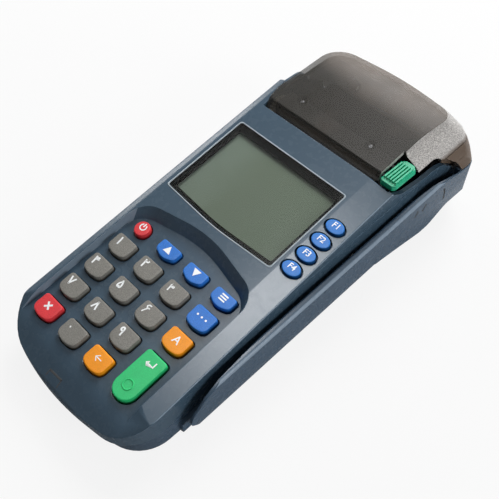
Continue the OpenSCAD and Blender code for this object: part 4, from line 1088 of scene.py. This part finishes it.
@dataclass
class CaseShells:
    """Upper and lower housing in millimetres, with what closes them and the faces that get a painted
    highlight.
    """

    pad_face: float = 38.3
    pad_foot: float = 38.02
    pad_front: float = -29.0
    rail_marks: tuple[Stroke, ...] = (
        ((55.9, 24.6), (57.5, 27.3)), ((61.2, 25.0), (63.2, 27.6)),
        ((76.2, 27.6), (77.4, 24.2)), ((77.4, 24.2), (77.6, 20.2)))
    rail_width: float = 1.1
    card_marks: tuple[Stroke, ...] = (
        ((-10.5, 12.0), (-10.0, 16.0)), ((-10.0, 16.0), (-3.0, 16.2)), ((-3.0, 16.2), (-2.5, 12.2)),
        ((-2.5, 12.2), (-10.5, 12.0)), ((-8.6, 13.6), (-6.6, 13.7)))
    card_width: float = 0.45
    # Which faces get a painted highlight: those tilted to the right, and the keypad's left wall
    highlight_tilt: Ends = (0.2, 0.5)
    highlight_rise: float = 0.25
    highlight_pitch: float = 0.35
    highlight_left: float = 20.0
    wall_facing: float = 0.8
    wall_right: float = -37.5
    wall_painted_highlight: float = 0.8
    head_facing: float = -0.9
    head_rise: float = 0.1
    cross_long: float = 3.0
    cross_wide: float = 0.7
    cross_deep: float = 0.08

    def build(self) -> None:
        """Build the shells and the marks on them."""
        top = Bench.skin("top_housing", "shell_plastic", Shading.CRISP)
        self.taper(top)
        WINDOW.stretch(top)
        base = Bench.skin("base_housing", "base_plastic", Shading.CRISP)
        self.mark_painted_highlights(top)
        self.mark_painted_highlights(base)
        Bench.skin("sam_door", "base_plastic", Shading.CRISP)
        Bench.skin("rubber_feet", "foot_rubber")
        self.crosses(Bench.skin("case_screws", "steel"))
        # Engraved marks as dark strokes of painted shade
        Strokes("rail_marks", "case", self.rail_marks, self.rail_width).lay(base, Side.RIGHT.value, "painted_groove_shade")
        Strokes("card_marks", "case", self.card_marks, self.card_width).lay(top, Side.FRONT.value, "painted_groove_shade")

    def taper(self, top: Piece) -> None:
        """Let the pad on the slot's inner wall run out to its front end.

        Args:
            top: The upper housing.
        """
        for vert in top.data.vertices:
            if vert.co.x > self.pad_face * MM and vert.co.y < self.pad_front * MM:
                vert.co.x = self.pad_foot * MM

    def mark_painted_highlights(self, shell: Piece) -> None:
        """Mark a painted highlight on the edges that turn to the right and on the keypad's left wall.

        Args:
            shell: A housing.
        """
        marks = shell.data.attributes.new(PAINTED_HIGHLIGHT, "FLOAT", "FACE")
        low, high = self.highlight_tilt
        for face in shell.data.polygons:
            normal = face.normal
            turned = (normal.z > self.highlight_rise and abs(normal.y) < self.highlight_pitch
                      and face.center.x > self.highlight_left * MM)
            share = min(max((normal.x - low) / (high - low), 0.0), 1.0) if turned else 0.0
            wall = normal.x > self.wall_facing and face.center.x < self.wall_right * MM
            marks.data[face.index].value = self.wall_painted_highlight if wall else share

    def crosses(self, screws: Piece) -> None:
        """Set a dark cross on the head of each case screw, painted shade for its recess.

        Args:
            screws: The screws of the case, heads down.
        """
        limit = min(vert.co.z for vert in screws.data.vertices) + self.head_rise * MM
        heads = [face.center.copy() for face in screws.data.polygons
                 if face.normal.z < self.head_facing and face.center.z < limit]
        for number, head in enumerate(heads, start=1):
            shape = bmesh.new()
            for sizes in ((self.cross_long, self.cross_wide), (self.cross_wide, self.cross_long)):
                size = Matrix.Diagonal((sizes[0] * MM, sizes[1] * MM, self.cross_deep * MM, 1))
                bmesh.ops.create_cube(shape, size=1, matrix=Matrix.Translation(head) @ size)
            Bench.piece(f"case_screw_cross_{number}", shape, "case", "painted_groove_shade")


@dataclass
class Keypad:
    """Nineteen keys in the basin, with their signs, in millimetres.

    The font leaves two digits partly open, so the eight is the seven turned round and the six is drawn
    in strokes.
    """

    groups: tuple[tuple[str, tuple[str, ...]], ...] = (
        ("key_red", ("key_power", "key_cancel")),
        ("key_blue", ("key_up", "key_down", "key_menu", "key_function")),
        ("key_orange", ("key_alpha", "key_clear")),
        ("key_green", ("key_enter",)),
        ("key_grey", tuple(f"key_{number}" for number in range(10))),
    )
    trim: float = 0.975
    digits: Pairs = (
        ("key_1", "۱"), ("key_2", "۲"), ("key_3", "۳"), ("key_4", "۴"), ("key_5", "۵"), ("key_7", "۷"),
        ("key_9", "۹"))
    digit_height: float = 3.9
    digit_shift: Ends = (-2.3, 0.6)
    digit_outline: float = 0.03
    zero_height: float = 0.9
    symbols: tuple[Legend, ...] = (
        Legend("key_power", "⏻", 3.6, bold=0.02),
        Legend("key_up", "▲", 3.3),
        Legend("key_down", "▼", 3.3),
        Legend("key_menu", "≡", 3.0, bold=0.01),
        Legend("key_function", "⋯", 0.9),
        Legend("key_alpha", "A", 3.4, bold=0.01),
        Legend("key_clear", "←", 3.0),
        Legend("key_cancel", "×", 3.2, bold=0.02),
        Legend("key_enter", "↵", 3.4, shift=(0, 5.6), bold=0.01),
    )
    six_marks: tuple[Stroke, ...] = (
        ((0.75, 1.95), (-0.3, 1.8)), ((-0.3, 1.8), (-0.8, 1.1)), ((-0.8, 1.1), (-0.3, 0.4)),
        ((-0.3, 0.4), (0.9, 0.65)), ((0.25, 0.5), (-0.5, -0.8)), ((-0.5, -0.8), (-0.95, -1.95)))
    six_width: float = 0.55
    ring_radius: float = 2.1
    ring_bore: float = 0.28
    ring_back: float = -6.4
    ring_sides: int = 10
    ring_steps: int = 40

    def build(self) -> None:
        """Build the keys, then what is printed on them."""
        caps = {}
        for slot, keys in self.groups:
            for key in keys:
                caps[key] = Bench.skin(key, slot, trim=self.trim)
        for sign in self.signs():
            sign.build(caps[sign.key])
        stand = key_stand("key_6", KEYPAD_SLOPE, self.digit_shift)
        six = Strokes("key_6_sign", "key_6", self.six_marks, self.six_width, INK_PROUD, INK_DEPTH)
        six.lay(caps["key_6"], stand, "ink")
        self.ring(caps["key_enter"])
        Bench.skin("keypad_membrane", "silicone")
        Bench.skin("keypad_board", "board_green", Shading.CRISP)

    def signs(self) -> list[Legend]:
        """List the signs that the font can draw.

        Returns:
            The digits, then the symbols.
        """
        height, shift, outline = self.digit_height, self.digit_shift, self.digit_outline
        made = [Legend(key, digit, height, shift, outline=outline) for key, digit in self.digits]
        made.append(Legend("key_8", "۷", height, shift, outline=outline, turn=math.pi))
        made.append(Legend("key_0", "۰", self.zero_height, shift))
        return made + list(self.symbols)

    def ring(self, cap: Piece) -> None:
        """Set the raised ring on the enter key.

        Args:
            cap: The enter key.
        """
        low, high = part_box("key_enter")
        middle = (low + high) / 2
        start = Vector((middle.x, middle.y + self.ring_back * MM, high.z + HOVER))
        turn = Matrix.Rotation(KEYPAD_SLOPE, 4, "X")
        seat = Surface(cap).hit(start, -(turn @ UP))
        upright = Matrix.Translation((self.ring_radius * MM, 0, 0)) @ Matrix.Rotation(math.pi / 2, 4, "X")
        shape = bmesh.new()
        bmesh.ops.create_circle(shape, segments=self.ring_sides, radius=self.ring_bore * MM, matrix=upright)
        bmesh.ops.spin(shape, geom=shape.verts[:] + shape.edges[:], cent=(0, 0, 0), axis=UP,
                       dvec=(0, 0, 0), angle=math.tau, steps=self.ring_steps, use_merge=True)
        bmesh.ops.remove_doubles(shape, verts=shape.verts, dist=WELD)
        bmesh.ops.recalc_face_normals(shape, faces=shape.faces)
        bmesh.ops.transform(shape, matrix=Matrix.Translation(seat) @ turn, verts=shape.verts)
        made = Bench.piece("key_enter_ring", shape, "key_enter", "key_green")


@dataclass
class FunctionKeys:
    """Four oval keys beside the display."""

    count: int = 4
    trim: float = 0.92
    sign_height: float = 2.6
    sign_bold: float = 0.01

    def build(self) -> None:
        """Build the keys with their signs."""
        for number in range(1, self.count + 1):
            key = f"key_f{number}"
            cap = Bench.skin(key, "key_sky", trim=self.trim)
            Legend(key, f"F{number}", self.sign_height, bold=self.sign_bold, slope=DECK_SLOPE).build(cap)
        Bench.skin("function_board", "board_green", Shading.CRISP)


@dataclass
class Display:
    """Window, printed border and panel, with the sizes of the pale bead that paints a highlight round the
    window in millimetres.
    """

    mask_share: float = 0.8
    face_up: float = 0.9
    rim_width: float = 0.6
    rim_proud: float = 0.06
    rim_depth: float = 0.3

    def build(self) -> None:
        """Dress the display's pieces."""
        lens = Bench.skin("display_lens", "lens_clear", Shading.CRISP)
        WINDOW.stretch(lens)
        WINDOW.stretch(Bench.skin("display_gasket", "mask_black", Shading.CRISP), self.mask_share)
        WINDOW.stretch(Bench.skin("lcd_panel", "lcd_grey", Shading.CRISP), self.mask_share)
        Bench.skin("lcd_bracket", "bracket_white", Shading.CRISP)
        self.rim(lens)

    def rim(self, lens: Piece) -> None:
        """Run a thin pale bead round the window, a painted highlight along its edge.

        Args:
            lens: The window.
        """
        shape = bmesh.new()
        shape.from_mesh(lens.data)
        upper = [face for face in shape.faces if face.normal.z > self.face_up]
        pane = max(upper, key=lambda face: face.calc_area())
        bmesh.ops.delete(shape, geom=[face for face in shape.faces if face is not pane], context="FACES")
        low, high = corners(pane.verts)
        grown = bmesh.ops.extrude_edge_only(shape, edges=shape.edges[:])
        outer = [part for part in grown["geom"] if isinstance(part, bmesh.types.BMVert)]
        bmesh.ops.delete(shape, geom=[pane], context="FACES_ONLY")
        more = 2 * self.rim_width * MM
        wide = (1 + more / (high.x - low.x), 1 + more / (high.y - low.y), 1)
        bmesh.ops.scale(shape, vec=wide, space=Matrix.Translation(-(low + high) / 2), verts=outer)
        for vert in shape.verts:
            vert.co.z = DECK.level(vert.co.y) + self.rim_proud * MM
        Bench.thicken(Bench.piece("display_rim", shape, "case", "rim"), self.rim_depth)


@dataclass
class PaperCover:
    """Hinged see-through cover with its roller and latch."""

    parts: Pairs = (
        ("platen_holder", "black_plastic"), ("cover_screws", "steel"), ("latch_pin", "steel"),
        ("cover_hinge_pins", "steel"), ("platen_roller", "platen_rubber"), ("platen_gear", "gear_nylon"))

    def build(self) -> None:
        """Build the cover, then what it carries."""
        cover = Bench.skin("printer_cover", "smoked_plastic")
        slant = cover.data.attributes.new(SLANT, "FLOAT", "FACE")
        for face in cover.data.polygons:
            slant.data[face.index].value = face.normal.x
        Bench.skin("cover_latch", "latch_green", Shading.CRISP)
        for node, slot in self.parts:
            Bench.skin(node, slot)


@dataclass
class Dressed:
    """A sub-assembly whose pieces are all dressed node by node."""

    title: str
    pieces: Pairs

    def build(self) -> None:
        """Dress each piece in turn."""
        LOG.info("sub-assembly %s", self.title)
        for node, slot in self.pieces:
            Bench.skin(node, slot)


@dataclass
class Contacts:
    """Row of spring contacts in millimetres, partly bedded in the roof of a socket's mouth."""

    socket: str
    mouth: float
    count: int
    pitch: float = 1.02
    width: float = 0.5
    length: float = 8.0
    height: float = 0.4
    bedded: float = 0.25
    set_back: float = 2.6

    def build(self) -> None:
        """Build the row and hang it in its socket."""
        low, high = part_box(self.socket)
        middle = (low + high) / 2
        along = high.y - (self.set_back + self.length / 2) * MM
        up = middle.z + (self.mouth / 2 - (0.5 - self.bedded) * self.height) * MM
        size = Matrix.Diagonal((self.width * MM, self.length * MM, self.height * MM, 1))
        shape = bmesh.new()
        for index in range(self.count):
            across = middle.x + (index - (self.count - 1) / 2) * self.pitch * MM
            bmesh.ops.create_cube(shape, size=1, matrix=Matrix.Translation((across, along, up)) @ size)
        name = self.socket + "_contacts"
        made = Bench.piece(name, shape, "case", "brass", Shading.CRISP)


PRINTER = Dressed("printer", (
    ("printer_frame", "steel"), ("print_head", "head_ceramic"), ("stepper_motor", "steel"),
    ("motor_pinion", "brass"), ("drive_gear", "gear_nylon"), ("tear_bar", "steel"),
    ("paper_bucket", "black_plastic")))
READERS = Dressed("card readers", (
    ("chip_reader", "black_plastic"), ("mag_head", "steel"), ("mag_head_spring", "steel")))
ELECTRONICS = Dressed("electronics", (
    ("main_board", "board_green"), ("coin_cell", "steel"), ("speaker", "black_plastic")))
SOCKETS = Dressed("rear sockets", (
    ("power_jack", "black_plastic"), ("line_jack", "cream_plastic"), ("network_jack", "steel"),
    ("serial_jack", "black_plastic")))
CONTACTS = (
    Contacts("line_jack", mouth=7.0, count=4), Contacts("network_jack", mouth=8.0, count=8),
    Contacts("serial_jack", mouth=7.0, count=6))


def main() -> None:
    """Build the studio and every sub-assembly in order."""
    logging.basicConfig(level=logging.INFO, format="%(message)s")
    Studio().build()
    CaseShells().build()
    Keypad().build()
    FunctionKeys().build()
    Display().build()
    PaperCover().build()
    for group in (PRINTER, READERS, ELECTRONICS, SOCKETS, *CONTACTS):
        group.build()


if __name__ == "__main__":
    main()
